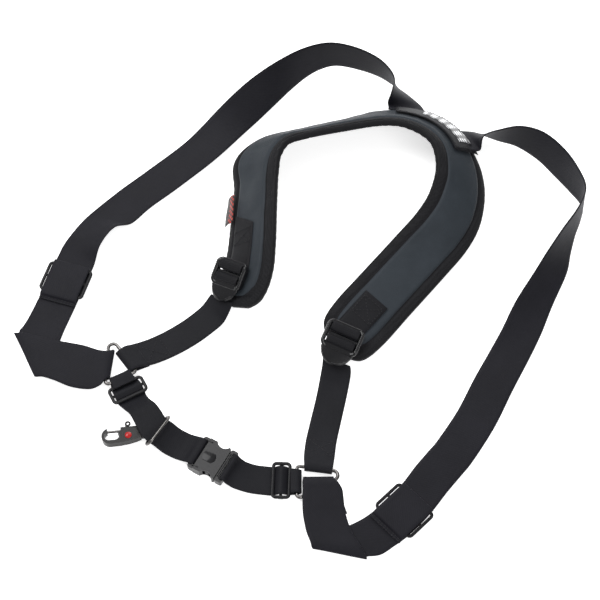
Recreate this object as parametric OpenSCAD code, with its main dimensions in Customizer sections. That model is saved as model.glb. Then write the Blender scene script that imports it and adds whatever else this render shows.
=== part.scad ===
// Padded harness for a saxophone, laid out flat on a surface.
// +Z is up. The origin is the middle of the footprint, on the surface.

/* [Webbing] */
// Width of the two side straps
wide_w = 40; // [36:1:42]
// Width of the front straps and the chest strap
narrow_w = 30; // [26:1:31]
// Thickness of all the webbing
web_t = 1.4; // [1:0.1:1.5]

/* [Pad] */
// Width of the yoke pad across its bound edges
pad_w = 66; // [56:1:70]
// Thickness of the foam core
foam_t = 8; // [6:0.5:9]
// Thickness of the face panel and of the lining
skin_t = 1; // [0.6:0.1:1.2]
// Width of the bound edge
binding_w = 5; // [4:0.5:7]

/* [Hardware] */
// Diameter of the ring wire
ring_wire = 3.6; // [3:0.1:3.8]
// Diameter of the loop wire
loop_wire = 3; // [2.6:0.1:3]
// Bar thickness of the sliders
bar_t = 2.4; // [2:0.1:2.6]
// Length of the side-release buckle, both halves closed
buckle_l = 38; // [38:1:40]
// Width of the side-release buckle
buckle_w = 36; // [35:1:38]
// Height of the side-release buckle
buckle_h = 10; // [9:0.5:11]

/* [Snap hook] */
// Thickness of the hook body
hook_t = 8; // [7:0.5:9]
// Radius of the hook bowl
bowl_r = 4.5; // [4:0.1:5]
// Radius of the gate rod
gate_r = 1.3; // [1:0.1:1.4]

/* [Hidden] */

// Brings the middle of the footprint to the origin and the lowest webbing to the surface
shift = [-2.6, 3.5, -0.2];
eps = 0.01;
steps = 3;          // sweep rings between two stations of a route

// A route is a list of stations [x, y, z, turn, lean, spread]. The strap's width direction points
// to the heading "turn" and leans up by "lean" degrees; "spread" widens or gathers it.

// Middle of the pad, left front end round the back to the right front end
pad_route = [
    [-64, -31, 13, -20, 25, 0.35], [-63, -24, 15, -19, 26, 0.7], [-61, -12, 19, -17, 29, 0.92],
    [-57, 5, 23, -13, 34, 1], [-53, 32, 26, -8, 41, 1], [-51, 73, 28, -5, 45, 1],
    [-49, 112, 29, -9, 46, 1], [-48, 140, 30, -23, 42, 1.08], [-31, 162, 30, -49, 47, 1.07],
    [0, 172, 30, -72, 52, 1], [42, 183, 30, -82, 50, 1.03], [80, 192, 30, -88, 47, 1.06],
    [109, 193, 29, -98, 44, 1.06], [138, 182, 28, -121, 41, 1.03], [158, 158, 28, -148, 41, 1],
    [166, 122, 26, -174, 37, 1], [160, 86, 22, -196, 30, 1], [145, 58, 17.5, -210, 22, 1],
    [121, 29, 14, -216, 15, 1], [85, -14, 12, -220, 11, 1], [56, -49, 10.5, -223, 9, 1],
    [40, -68, 9.5, -226, 8, 0.85], [34, -76, 9, -227, 8, 0.4]];

// Side straps: from the back patch, under the slider, over a fold and round the ring bar
side_left_route = [
    [113.3, 221.3, 11.2, -6, -6, 1], [109, 232, 15, 25, -38, 1],
    [104, 242, 18, 58, -54, 1], [100, 252, 19, 88, -62, 1], [90, 264, 20, 118, -64, 1],
    [74, 276, 20, 145, -68, 1], [52, 285, 21, 160, -78, 1], [30, 288, 21, 160, -95, 1],
    [6, 280, 20, 152, -105, 1], [-19, 262, 18.5, 146, -119, 1], [-46, 239, 13.6, 142, -140, 1],
    [-76, 210, 6, 140, -166, 1], [-110, 172, 1.6, 140, -180, 1], [-150, 134, 1.2, 141, -180, 1],
    [-178, 109, 1.1, 145, -180, 1], [-199, 87, 1.7, 153, -180, 1.05], [-215, 73, 6, 160, -194, 0.98],
    [-229, 50, 6.5, 163, -194, 1], [-236, 30, 2.2, 163, -180, 1], [-244, 6, 2.2, 163, -180, 1],
    [-252, -20, 2, 163, -180, 1], [-264, -53, 1.2, 158, -180, 1.05], [-273, -76, 1.6, 122, -180, 1.35],
    [-279, -80, 3.4, 117, -180, 1.4], [-270, -81.5, 6, 115, -180, 1.38], [-256, -85.5, 6, 111, -180, 1.34],
    [-238, -91.5, 6, 107, -180, 1.36], [-216, -96, 7, 101, -180, 1.26], [-203, -97, 8.4, 97, -180, 1],
    [-196.5, -95, 8.8, 90, -180, 0.82], [-191.8, -92.5, 7.4, 85, -180, 0.8],
    [-190.6, -92.5, 5.5, 85, -180, 0.8], [-191.8, -92.5, 3.4, 85, -180, 0.8],
    [-196, -93, 2.2, 86, -180, 0.8], [-210, -93, 3.2, 90, -180, 0.95],
    [-230, -91, 4.2, 95, -180, 1.1]];
side_right_route = [
    [181.4, 176.2, 13.4, 117, -18, 1], [192, 180, 19, 95, -50, 1],
    [212, 178, 21, 85, -72, 1], [233, 176, 21, 80, -88, 1], [255, 164, 20.5, 72, -102, 1],
    [273, 143, 20, 58, -106, 1], [287, 119, 21, 47, -97, 1], [295, 98, 21, 42, -86, 1],
    [289, 78, 20, 40, -76, 1], [276, 56, 17.5, 34, -54, 1], [265, 34, 13.5, 22, -40, 1],
    [255, 12, 10, 10, -26, 1], [236, -22, 6, 0, -13, 1], [221, -54, 3, -7, -5, 1],
    [206, -82, 1, -14, 0, 1], [189, -113, 1, -19, 0, 1], [170, -150, 1, -24, 0, 1],
    [148, -184, 1, -35, 0, 1], [136, -199, 1.4, -40, 0, 1], [123, -215, 2.2, -43, 0, 1],
    [109.5, -233, 2.2, -46, 0, 1], [96, -248, 2.2, -46, 0, 1], [83, -260, 2, -49, 0, 1],
    [70, -269.5, 1.3, -46, 0, 1], [56, -277.5, 1.2, -37, 0, 1.1], [36, -286, 1.4, -15, 0, 1.28],
    [34, -290.5, 3.4, -11, 0, 1.3], [31, -283, 6, -8, 0, 1.24], [24.5, -270, 6, -4, 0, 1.1],
    [20, -252, 6.6, -1, 0, 1.02], [18.8, -236, 8, 0, 0, 0.98], [18.4, -228, 8.6, 0, 0, 0.95],
    [16.4, -221, 9, 0, 0, 0.86], [14.7, -216, 7.6, 0, 0, 0.74], [14.7, -214.6, 5.5, 0, 0, 0.74],
    [14.7, -216, 3.4, 0, 0, 0.74], [15.6, -222, 2.2, 0, 0, 0.8], [18, -234, 2.8, -1, 0, 0.92],
    [21, -250, 4, -3, 0, 1.05]];

// Their doubled ends: back up from the fold, over the slider and round its far bar
return_left_route = [
    [-251.9, -19.8, 3.4, 163, -180, 1], [-250.9, -16.5, 4.6, 163, -180, 1],
    [-249.7, -12.7, 7, 163, -180, 1], [-244, 6, 7.3, 163, -180, 1], [-239, 22.3, 7.2, 163, -180, 1],
    [-238.5, 24, 6.2, 163, -180, 1], [-238.4, 24.3, 4.4, 163, -180, 1]];
return_right_route = [
    [76.6, -266.8, 3.3, -46, 0, 1], [79.1, -264.3, 4.4, -46, 0, 1], [82, -261.6, 7, -46, 0, 1],
    [96, -248, 7.3, -46, 0, 1], [108.2, -236.2, 7.2, -46, 0, 1], [109.5, -234.9, 6.2, -46, 0, 1],
    [109.8, -234.7, 4.4, -46, 0, 1]];

// Front straps: from under the ladder lock to the ring, and back on themselves
front_left_route = [
    [-82.5, -20, 11.6, -36, 19, 1], [-87, -27, 6.6, -39, 9, 1],
    [-92.5, -34, 2.4, -42, 0, 1], [-101, -42, 1.3, -48, 0, 1],
    [-114, -53, 1, -52, 0, 1], [-130, -64, 1, -53, 0, 1], [-146, -73, 1.6, -53, 0, 1],
    [-160, -80, 4, -54, 0, 1], [-170, -84, 7.4, -54, 0, 0.95], [-175, -87.5, 8.7, -54, 0, 0.9],
    [-178.4, -89.8, 7.2, -54, 0, 0.9], [-179.3, -90.4, 5.5, -54, 0, 0.9],
    [-178.4, -89.8, 3.8, -54, 0, 0.9], [-174, -86.8, 2.2, -54, 0, 0.92],
    [-162, -80, 1.6, -54, 0, 1]];
front_right_route = [
    [33.5, -90.5, 9.4, -20, -6, 0.96], [33.4, -97, 5.4, -12, -2, 0.98],
    [31.8, -107, 2.3, -6, 0, 1], [28, -127, 1.2, -3, 0, 1], [22.5, -152, 1, -5, 0, 1],
    [18, -173, 1.6, -7, 0, 1], [16, -188, 4, -9, 0, 1], [15, -198, 7.6, -9, 0, 0.97], [14.6, -203.5, 8.8, -8, 0, 0.92],
    [14.5, -207.6, 7.6, -8, 0, 0.9], [14.4, -208.6, 5.5, -8, 0, 0.9],
    [14.5, -207.6, 3.4, -8, 0, 0.9], [14.8, -202, 2.1, -8, 0, 0.94],
    [16, -188, 1.6, -10, 0, 1]];

// Chest strap, ring to buckle socket and buckle plug to ring
chest_left_route = [
    [-176.4, -115.7, 7.8, 28, 0, 0.8], [-180.4, -107.8, 8.7, 28, 0, 0.74],
    [-182.3, -104.4, 7.2, 28, 0, 0.74], [-182.7, -103.6, 5.5, 28, 0, 0.74],
    [-182.3, -104.4, 3.8, 28, 0, 0.74], [-180.4, -107.8, 2.2, 28, 0, 0.8],
    [-176.9, -113.6, 2, 28, 0, 0.95], [-173.4, -120.2, 5.7, 27, 0, 0.98],
    [-169.9, -126.8, 2, 27, 0, 0.98], [-168.2, -130, 2.1, 26, 0, 0.95],
    [-163, -137.5, 7.5, 24, 4, 0.9], [-156.5, -145, 12, 27, 3, 0.9],
    [-150, -156, 13.2, 37, -1, 0.96], [-145.6, -163.5, 13.2, 48, -2, 1], [-141, -168, 12.2, 55, 0, 1],
    [-135.5, -171.6, 11, 57, 0, 1], [-127, -177, 7, 58, 0, 1],
    [-117, -181.6, 5, 60, 0, 1], [-109.5, -184.8, 6.6, 61, 0, 1],
    [-105, -187.1, 9.2, 61, 0, 1], [-102.3, -188.5, 9.9, 61, 0, 1], [-100.2, -189.7, 9.2, 61, 0, 1],
    [-99.6, -190, 7, 61, 0, 1], [-99.5, -190.1, 4.5, 61, 0, 1]];
chest_right_route = [
    [-73.3, -204.6, 4.5, 61, 0, 1], [-73.3, -204.6, 7.4, 61, 0, 1], [-72.8, -204.9, 9.5, 61, 0, 1],
    [-71.2, -205.7, 10, 61, 0, 1], [-69.6, -206.6, 9.5, 61, 0, 1], [-68, -207.5, 7, 61, 0, 1],
    [-65.4, -208.7, 4.8, 62, 0, 1], [-60, -211.3, 3.2, 66, 0, 1], [-48, -214.6, 1.8, 76, 0, 1],
    [-36, -216.2, 1.6, 84, 0, 1], [-28.5, -216.8, 1.9, 87, 0, 1], [-21, -217, 5.7, 88, 0, 0.98],
    [-13.5, -217.3, 1.9, 88, 0, 0.95], [-10.4, -218.2, 1.9, 89, 0, 0.86], [-6, -219, 2.2, 90, 0, 0.8],
    [-2.9, -219, 3.8, 90, 0, 0.8], [-2.1, -219, 5.5, 90, 0, 0.8], [-2.9, -219, 7.2, 90, 0, 0.8],
    [-6, -219, 8.7, 90, 0, 0.8], [-12, -218.5, 8, 90, 0, 0.84]];

// Places of the hardware: position and heading of its own x axis
side_slider_left_at = [-244, 6, 4.7];
side_slider_left_turn = 253;
side_slider_right_at = [96, -248, 4.7];
side_slider_right_turn = 224;
chest_slider_left_at = [-173.4, -120.2, 3.7];
chest_slider_left_turn = -62;
chest_slider_right_at = [-21, -217, 3.7];
chest_slider_right_turn = -2;
ring_left_at = [-193, -111, 5.5];
ring_left_turn = 28;
ring_right_at = [-3, -232, 5.5];
ring_right_turn = 90;
lock_left_at = [-70, 10.5, 33];
lock_left_turn = 247;
lock_left_pitch = 27;
lock_left_roll = 24;
lock_right_at = [44.5, -60, 25.5];
lock_right_turn = 245;
lock_right_pitch = 18;
lock_right_roll = -8;
buckle_at = [-87, -197, 5.2];
buckle_turn = -29;
loop_at = [-141, -168, 12];
loop_turn = -33;
loop_tilt = 60;
hook_at = [-145.6, -168.5, 6.3];
hook_turn = 186;

// ---------- sweeps ----------

// Catmull-Rom value between b and c
function spline(a, b, c, d, t) =
    0.5 * (2 * b + (c - a) * t + (2 * a - 5 * b + 4 * c - d) * t * t
    + (3 * b - a - 3 * c + d) * t * t * t);

// Stations of a route, with extra ones between
function finer(route, n) = let (last = len(route) - 1) [
    for (i = [0 : n * last])
        let (k = min(floor(i / n), last - 1), t = i / n - k)
        spline(route[max(k - 1, 0)], route[k], route[k + 1], route[min(k + 2, last)], t)];

function centre(s) = [s[0], s[1], s[2]] + shift;
function width_dir(s) = [cos(s[4]) * cos(s[3]), cos(s[4]) * sin(s[3]), sin(s[4])];
function unit(v) = v / norm(v);
function travel(pts, i) = unit(centre(pts[min(i + 1, len(pts) - 1)]) - centre(pts[max(i - 1, 0)]));
function face_dir(pts, i) = unit(cross(width_dir(pts[i]), travel(pts, i)));

// Ring of points of a section [across, out] at station i
function section_at(pts, i, section) = [for (q = section)
    centre(pts[i]) + q[0] * width_dir(pts[i]) + q[1] * face_dir(pts, i)];

// Closed skin over rings that all have n points
module skin(rings, n, closed = false) {
    count = len(rings);
    laps = closed ? count : count - 1;
    sides = [for (i = [0 : laps - 1], j = [0 : n - 1])
        [i * n + j, ((i + 1) % count) * n + j, ((i + 1) % count) * n + (j + 1) % n, i * n + (j + 1) % n]];
    caps = closed ? [] : [[for (j = [0 : n - 1]) j], [for (j = [n - 1 : -1 : 0]) (count - 1) * n + j]];
    polyhedron([for (r = rings) each r], concat(sides, caps));
}

// Flat webbing along a route
module ribbon(route, width) {
    pts = finer(route, steps);
    rings = [for (i = [0 : len(pts) - 1])
        let (h = pts[i][5] * width / 2, t = web_t / 2)
        section_at(pts, i, [[-h, -t], [-h, t], [h, t], [h, -t]])];
    skin(rings, 4);
}

// ---------- yoke ----------

pad_pts = finer(pad_route, steps);
pad_trim = 3;       // sweep rings left free at each end of the pad for the binding

function half_pad(i) = pad_pts[i][5] * pad_w / 2;

// Layer of the pad between two heights over its middle plane
module pad_layer(low, high) {
    rings = [for (i = [pad_trim : len(pad_pts) - 1 - pad_trim])
        let (h = half_pad(i) - binding_w)
        section_at(pad_pts, i, [[-h, low], [-h, high], [h, high], [h, low]])];
    skin(rings, 4);
}

module pad_foam() {
    color("dimgray") pad_layer(-foam_t / 2, foam_t / 2);
}

module pad_face() {
    color("darkslategray") pad_layer(foam_t / 2 + 0.05, foam_t / 2 + skin_t);
}

module pad_lining() {
    color("black") pad_layer(-foam_t / 2 - skin_t, -foam_t / 2 - 0.05);
}

// Edge band all round the pad: up one side and back down the other
module pad_binding() {
    last = len(pad_pts) - 1;
    h = foam_t / 2 + skin_t;
    gap = 0.1;
    up = [for (i = [0 : last]) let (e = half_pad(i))
        section_at(pad_pts, i, [[-e, -h], [-e, h], [-e + binding_w - gap, h], [-e + binding_w - gap, -h]])];
    down = [for (i = [last : -1 : 0]) let (e = half_pad(i))
        section_at(pad_pts, i, [[e, -h], [e, h], [e - binding_w + gap, h], [e - binding_w + gap, -h]])];
    color("black") skin(concat(up, down), 4, closed = true);
}

// Flat piece on the pad's face, over part of the route and part of the width
module on_pad(first, last_i, low, high, from, to) {
    rings = [for (i = [first : last_i])
        section_at(pad_pts, i, [[from, low], [from, high], [to, high], [to, low]])];
    skin(rings, 4);
}

face_top = foam_t / 2 + skin_t;

module back_patch() {
    color("black") on_pad(35, 43, face_top + 2.1, face_top + 3.1, -pad_w / 2 + 2, 12);
}

module back_label() {
    color("silver") on_pad(38, 42, face_top + 3.4, face_top + 3.8, -24, -1);
}

// Tag lying over the left lobe's outer edge
module side_tag() {
    color("firebrick") on_pad(16, 18, face_top + 0.1, face_top + 2, -pad_w / 2 - 5, -pad_w / 2 + 7);
}

// Webbing tabs sewn on the front ends, reaching to the ladder locks
module tab(from, to, low, side) {
    color("black") on_pad(from, to, face_top + 0.7, face_top + 0.7 + web_t, low, low + narrow_w * side);
}

module tab_left() {
    tab(10, 14, -21, 1);
}

module tab_right() {
    tab(58, 62, -12, 1);
}

// ---------- straps ----------

module side_strap_left() {
    color("black") ribbon(side_left_route, wide_w);
    color("black") ribbon(return_left_route, wide_w - 1);
}

module side_strap_right() {
    color("black") ribbon(side_right_route, wide_w);
    color("black") ribbon(return_right_route, wide_w - 1);
}

module front_strap_left() {
    color("black") ribbon(front_left_route, narrow_w);
}

module front_strap_right() {
    color("black") ribbon(front_right_route, narrow_w);
}

module chest_strap_left() {
    color("black") ribbon(chest_left_route, narrow_w);
}

module chest_strap_right() {
    color("black") ribbon(chest_right_route, narrow_w);
}

// ---------- frames with bars ----------

module at(place, turn) {
    translate(place + shift) rotate([0, 0, turn]) children();
}

// Plate with rounded corners, x long and y wide, middle at the origin
module rounded_plate(l, w, h, r) {
    linear_extrude(height = h, center = true) {
        square([l - 2 * r, w], center = true);
        square([l, w - 2 * r], center = true);
        for (x = [-1, 1], y = [-1, 1])
            translate([x * (l / 2 - r), y * (w / 2 - r)]) circle(r = r, $fn = 48);
    }
}

// Three-bar slider; the strap runs along x, and the middle bar may be set lower
module slider(web, l, bar, drop) {
    rail = 3.5;
    inner = web + 1.4;
    window = (l - 3 * bar) / 2;
    difference() {
        rounded_plate(l, inner + 2 * rail, bar_t, 3);
        for (x = [-1, 1])
            translate([x * (bar + window) / 2, 0, 0])
                cube([window, inner, bar_t + 1], center = true);
        if (drop > 0) cube([bar + eps, inner, bar_t + 1], center = true);
    }
    if (drop > 0) {
        translate([0, 0, -drop]) cube([bar, inner, bar_t], center = true);
        for (y = [-1, 1])
            translate([0, y * (inner + rail) / 2, -drop / 2])
                cube([bar, rail - 0.6, bar_t + drop], center = true);
    }
}

module side_slider_left() {
    color("#1b1b1d") at(side_slider_left_at, side_slider_left_turn) slider(wide_w, 35, 3, 0);
}

module side_slider_right() {
    color("#1b1b1d") at(side_slider_right_at, side_slider_right_turn) slider(wide_w, 35, 3, 0);
}

module chest_slider_left() {
    color("#1b1b1d") at(chest_slider_left_at, chest_slider_left_turn)
        translate([0, 0, 0.7]) slider(narrow_w, 19, 3, 1.4);
}

module chest_slider_right() {
    color("#1b1b1d") at(chest_slider_right_at, chest_slider_right_turn)
        translate([0, 0, 0.7]) slider(narrow_w, 19, 3, 1.4);
}

// ---------- front rings ----------

// Corner circles of the ring: [x, y, r]; the bars are their outer tangents
ring_corners = [[0, 0, 3], [26, 0, 3], [19.6, 31.4, 5]];

function heading(v) = atan2(v[1], v[0]);

// Outward direction of the tangent bar from corner a to corner b, turning left round the ring
function bar_out(a, b) = let (v = [b[0] - a[0], b[1] - a[1]], d = norm(v))
    heading(v) - 90 + asin((a[2] - b[2]) / d);
function rim_point(c, angle) = [c[0] + c[2] * cos(angle), c[1] + c[2] * sin(angle)];

// Straight bar, let a little into the bends at its ends
module wire_bar(p, q, wire) {
    v = q - p;
    let_in = 0.4;
    translate([p[0], p[1], 0]) rotate([0, 0, heading(v)]) translate([-let_in, 0, 0]) rotate([0, 90, 0])
        cylinder(h = norm(v) + 2 * let_in, d = wire - 0.08, $fn = 32);
}

module wire_bend(c, from, sweep, wire) {
    translate([c[0], c[1], 0]) rotate([0, 0, from])
        rotate_extrude(angle = sweep, $fn = 64) translate([c[2], 0]) circle(d = wire, $fn = 32);
}

module front_ring() {
    for (i = [0 : 2]) {
        a = ring_corners[i];
        b = ring_corners[(i + 1) % 3];
        c = ring_corners[(i + 2) % 3];
        out = bar_out(a, b);
        next = bar_out(b, c);
        wire_bar(rim_point(a, out), rim_point(b, out), ring_wire);
        wire_bend(b, out, (next - out + 720) % 360, ring_wire);
    }
}

module ring_left() {
    color("silver") at(ring_left_at, ring_left_turn) front_ring();
}

module ring_right() {
    color("silver") at(ring_right_at, ring_right_turn) mirror([0, 1, 0]) front_ring();
}

// ---------- ladder locks ----------

// Own frame: x runs from the hinge bar (x = 0) to the tongue, y across, z up
lock_inner = narrow_w + 1.2;
lock_rail = 4.4;
lock_l = 31.5;
lock_bars = [0, 12.5, 23.6];

module ladder_lock() {
    w = lock_inner + 2 * lock_rail;
    difference() {
        union() {
            translate([lock_l / 2 - 2, 0, 0]) rounded_plate(lock_l, w, 4, 4);
            intersection() {
                translate([lock_l - 7, 0, 0]) cylinder(h = 4, r = w / 2 - 2, center = true, $fn = 96);
                translate([lock_l - 7 + 8, 0, 0]) cube([30, w, 4], center = true);
            }
            for (y = [-1, 1])
                translate([lock_l / 2 - 2, y * (w - lock_rail) / 2, 1.6])
                    cube([lock_l - 9, lock_rail - 0.8, 5], center = true);
        }
        for (i = [0, 1])
            translate([(lock_bars[i] + lock_bars[i + 1]) / 2, 0, 0])
                cube([lock_bars[i + 1] - lock_bars[i] - 3.4, lock_inner, 6], center = true);
    }
}

// Webbing held inside the lock: the tab's loop on the hinge bar and the front strap over its bar
module lock_web() {
    h = narrow_w / 2;
    t = web_t;
    for (x = [0, 12.5]) {
        translate([x, 0, 0]) difference() {
            cube([7, 2 * h, 8.2], center = true);
            cube([7 - 2 * t, 2 * h + 1, 8.2 - 2 * t], center = true);
        }
    }
}

module lock_left() {
    color("#141416") at(lock_left_at, lock_left_turn)
        rotate([lock_left_roll, lock_left_pitch, 0]) ladder_lock();
}

module lock_right() {
    color("#141416") at(lock_right_at, lock_right_turn)
        rotate([lock_right_roll, lock_right_pitch, 0]) ladder_lock();
}

module lock_web_left() {
    color("black") at(lock_left_at, lock_left_turn)
        rotate([lock_left_roll, lock_left_pitch, 0]) lock_web();
}

module lock_web_right() {
    color("black") at(lock_right_at, lock_right_turn)
        rotate([lock_right_roll, lock_right_pitch, 0]) lock_web();
}

// ---------- side-release buckle ----------

// Own frame: x from the socket's strap bar to the plug's strap bar, y across, z up
half_l = buckle_l / 2;
half_w = buckle_w / 2;
mouth_x = 11;        // where the socket ends and the plug's base begins
slot_l = 3.4;        // webbing slots
wall = 2;
prong_root_x = 9;
prong_tip_x = -5;

module buckle_socket() {
    inner_w = buckle_w - 2 * wall;
    color("#1b1b1d") at(buckle_at, buckle_turn) difference() {
        translate([(mouth_x - half_l) / 2, 0, 0]) rounded_plate(mouth_x + half_l, buckle_w, buckle_h, 2.5);
        // pocket for the plug, open at the mouth
        translate([(mouth_x - 10) / 2 + 2, 0, 0])
            cube([mouth_x + 10 + 4, inner_w - 1, buckle_h - 3], center = true);
        // side windows over the prongs
        for (y = [-1, 1])
            translate([2, y * (half_w + 3.5), 0])
                cylinder(h = buckle_h + 1, r = 7.5, center = true, $fn = 64);
        // webbing slot
        translate([-half_l + 3 + slot_l / 2, 0, 0])
            cube([slot_l, narrow_w + 0.6, buckle_h + 1], center = true);
        // lower rim at the strap bar
        translate([-half_l, 0, buckle_h / 2 + 2.5]) cube([13, buckle_w + 1, 8], center = true);
        translate([-half_l, 0, -buckle_h / 2 - 2.5]) cube([13, buckle_w + 1, 8], center = true);
    }
}

module buckle_plug() {
    base_l = half_l - mouth_x - 0.3;
    color("#1b1b1d") at(buckle_at, buckle_turn) {
        difference() {
            translate([mouth_x + 0.3 + base_l / 2, 0, 0]) rounded_plate(base_l, buckle_w, buckle_h - 3, 2);
            translate([half_l - 2.4 - slot_l / 2 + 0.8, 0, 0])
                cube([slot_l - 1, narrow_w + 0.6, buckle_h], center = true);
        }
        // middle guide
        translate([(mouth_x - 3) / 2 + 0.5, 0, 0]) cube([mouth_x + 4, 5, 4], center = true);
    }
}

// Flexing prong on one side of the plug, with its catch head in the window
module prong(side) {
    color("#1b1b1d") at(buckle_at, buckle_turn) {
        translate([(prong_root_x + prong_tip_x) / 2 + 0.9, side * 9.4, 0])
            cube([prong_root_x - prong_tip_x + 2, 2.6, 5], center = true);
        intersection() {
            translate([prong_tip_x + 6, side * 7.2, 0]) cylinder(h = 5, r = 7, center = true, $fn = 64);
            translate([prong_tip_x + 3.6, side * 12, 0]) cube([9, 5.2, 5], center = true);
        }
    }
}

module prong_left() {
    prong(1);
}

module prong_right() {
    prong(-1);
}

// ---------- loop and snap hook ----------

loop_straight = 22;
loop_bend = 6.5;

module hook_loop() {
    color("silver") at(loop_at, loop_turn) rotate([0, -loop_tilt, 0]) {
        for (x = [-1, 1])
            translate([x * loop_bend, 0, 0]) rotate([90, 0, 0])
                cylinder(h = loop_straight, d = loop_wire, center = true, $fn = 32);
        for (y = [-1, 1])
            translate([0, y * loop_straight / 2, 0]) rotate([0, 0, y > 0 ? 0 : 180])
                rotate_extrude(angle = 180, $fn = 64)
                    translate([loop_bend, 0]) circle(d = loop_wire, $fn = 32);
    }
}

// Own frame of the hook: origin in the eye, x along the hook to its tip, y across, z up
stem_r = 1.5;
neck_r = 4.2;
gate_y = -5.8;
chamber_r = 2.4;
bowl_x = 43;
bowl_back_x = 37.5;

module hook_eye() {
    color("silver") at(hook_at, hook_turn) {
        rotate([90, 0, 0]) rotate_extrude($fn = 64) translate([3.9, 0]) circle(r = 1, $fn = 24);
        translate([4.2, 0, 0]) rotate([0, 90, 0]) cylinder(h = 5.8, r = stem_r, $fn = 32);
        translate([9.8, 0, 0]) rotate([0, 90, 0]) cylinder(h = 1.6, r = 2.6, $fn = 32);
    }
}

// Flat outline of the hook body
module hook_outline() {
    difference() {
        union() {
            translate([bowl_x - 1, 0]) circle(r = 8.3, $fn = 96);
            polygon([[12, -4], [12, 4], [17, 5.6], [24, 7.2], [32, 8.1], [bowl_x - 1, 8.3],
                [bowl_x - 1, -8.3], [32, -8.3], [24, -8], [17, -6.5]]);
        }
        translate([bowl_x, 0]) circle(r = bowl_r, $fn = 64);
        translate([bowl_back_x, 0]) circle(r = bowl_r, $fn = 64);
        translate([(bowl_x + bowl_back_x) / 2, 0])
            square([bowl_x - bowl_back_x, 2 * bowl_r], center = true);
        // open side, closed by the gate
        translate([38, -8]) square([13, 9], center = true);
    }
}

module hook_body() {
    color("#232326") at(hook_at, hook_turn) difference() {
        union() {
            linear_extrude(height = hook_t, center = true) hook_outline();
            translate([6.6, 0, 0]) rotate([0, 90, 0]) cylinder(h = 9, r = neck_r, $fn = 48);
            translate([14, gate_y, 0]) rotate([0, 90, 0]) cylinder(h = 17, r = 3.9, $fn = 48);
        }
        // swivel socket: narrow bore and wider chamber for the eye's head
        translate([6, 0, 0]) rotate([0, 90, 0]) cylinder(h = 4, r = stem_r + 0.3, $fn = 32);
        translate([9.4, 0, 0]) rotate([0, 90, 0]) cylinder(h = 2.6, r = 2.9, $fn = 32);
        // gate chamber, gate bore and lever slot
        translate([15, gate_y, 0]) rotate([0, 90, 0]) cylinder(h = 13, r = chamber_r, $fn = 32);
        translate([27, gate_y, 0]) rotate([0, 90, 0]) cylinder(h = 6, r = gate_r + 0.3, $fn = 32);
        translate([22.2, gate_y - 4, 0]) cube([11.4, 8, 3], center = true);
        // seat for the gate's tip in the nose
        translate([44, gate_y, 0]) rotate([0, 90, 0]) cylinder(h = 3.2, r = gate_r + 0.3, $fn = 32);
        // grip grooves on both faces
        for (x = [13.6, 15.6, 28.4, 30.4], z = [-1, 1])
            translate([x, 0.5, z * hook_t / 2]) cube([0.8, 30, 0.8], center = true);
        // seat of the badge
        translate([24.2, 1, hook_t / 2 - 0.6]) cylinder(h = 2, r = 3.5, $fn = 48);
    }
}

module hook_gate() {
    color("silver") at(hook_at, hook_turn) {
        translate([25, gate_y, 0]) rotate([0, 90, 0]) cylinder(h = 21.5, r = gate_r, $fn = 32);
        translate([24.8, gate_y, 0]) rotate([0, 90, 0]) cylinder(h = 2.6, r = 2.1, $fn = 32);
    }
}

// Thumb lever: a post through the slot with a curled end
module gate_lever() {
    color("#232326") at(hook_at, hook_turn) {
        translate([26, (gate_y - 2.15 - 11.4) / 2, 0]) cube([2, 11.4 - 2.15 + gate_y, 2.2], center = true);
        translate([24.4, -13, 0]) rotate_extrude($fn = 48) translate([2, 0]) circle(r = 0.9, $fn = 24);
    }
}

// Compression spring between the chamber's end and the gate's collar
module gate_spring() {
    turns = 5;
    per_turn = 8;
    n = 5;
    length = 9.1;
    radius = 1.75;
    wire = 0.3;
    rings = [for (i = [0 : turns * per_turn])
        let (a = 360 * i / per_turn, x = 15.4 + length * i / (turns * per_turn))
        [for (j = [0 : n - 1]) let (b = 360 * j / n, r = radius + wire * cos(b))
            [x + wire * sin(b), gate_y + r * cos(a), r * sin(a)]]];
    color("silver") at(hook_at, hook_turn) skin(rings, n);
}

module hook_badge() {
    color("crimson") at(hook_at, hook_turn) translate([24.2, 1, hook_t / 2 - 0.5]) {
        cylinder(h = 1, r = 3.3, $fn = 48);
        intersection() {
            translate([0, 0, -4.6]) sphere(r = 6.5, $fn = 64);
            translate([0, 0, 1]) cylinder(h = 2, r = 3.3, $fn = 48);
        }
    }
}

pad_foam();
pad_face();
pad_lining();
pad_binding();
back_patch();
back_label();
side_tag();
tab_left();
tab_right();
side_strap_left();
side_strap_right();
front_strap_left();
front_strap_right();
chest_strap_left();
chest_strap_right();
lock_left();
lock_right();
lock_web_left();
lock_web_right();
side_slider_left();
side_slider_right();
chest_slider_left();
chest_slider_right();
ring_left();
ring_right();
buckle_socket();
buckle_plug();
prong_left();
prong_right();
hook_loop();
hook_eye();
hook_body();
hook_gate();
gate_lever();
gate_spring();
hook_badge();
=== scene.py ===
"""Padded harness for a saxophone, laid out flat: webbing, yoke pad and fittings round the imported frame.

Everything is in metres, in the frame of the CAD model: +Z up, the origin in the middle of the footprint.
"""

import math

import bmesh
import bpy
import numpy as np
from mathutils import Matrix, Vector, noise


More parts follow.
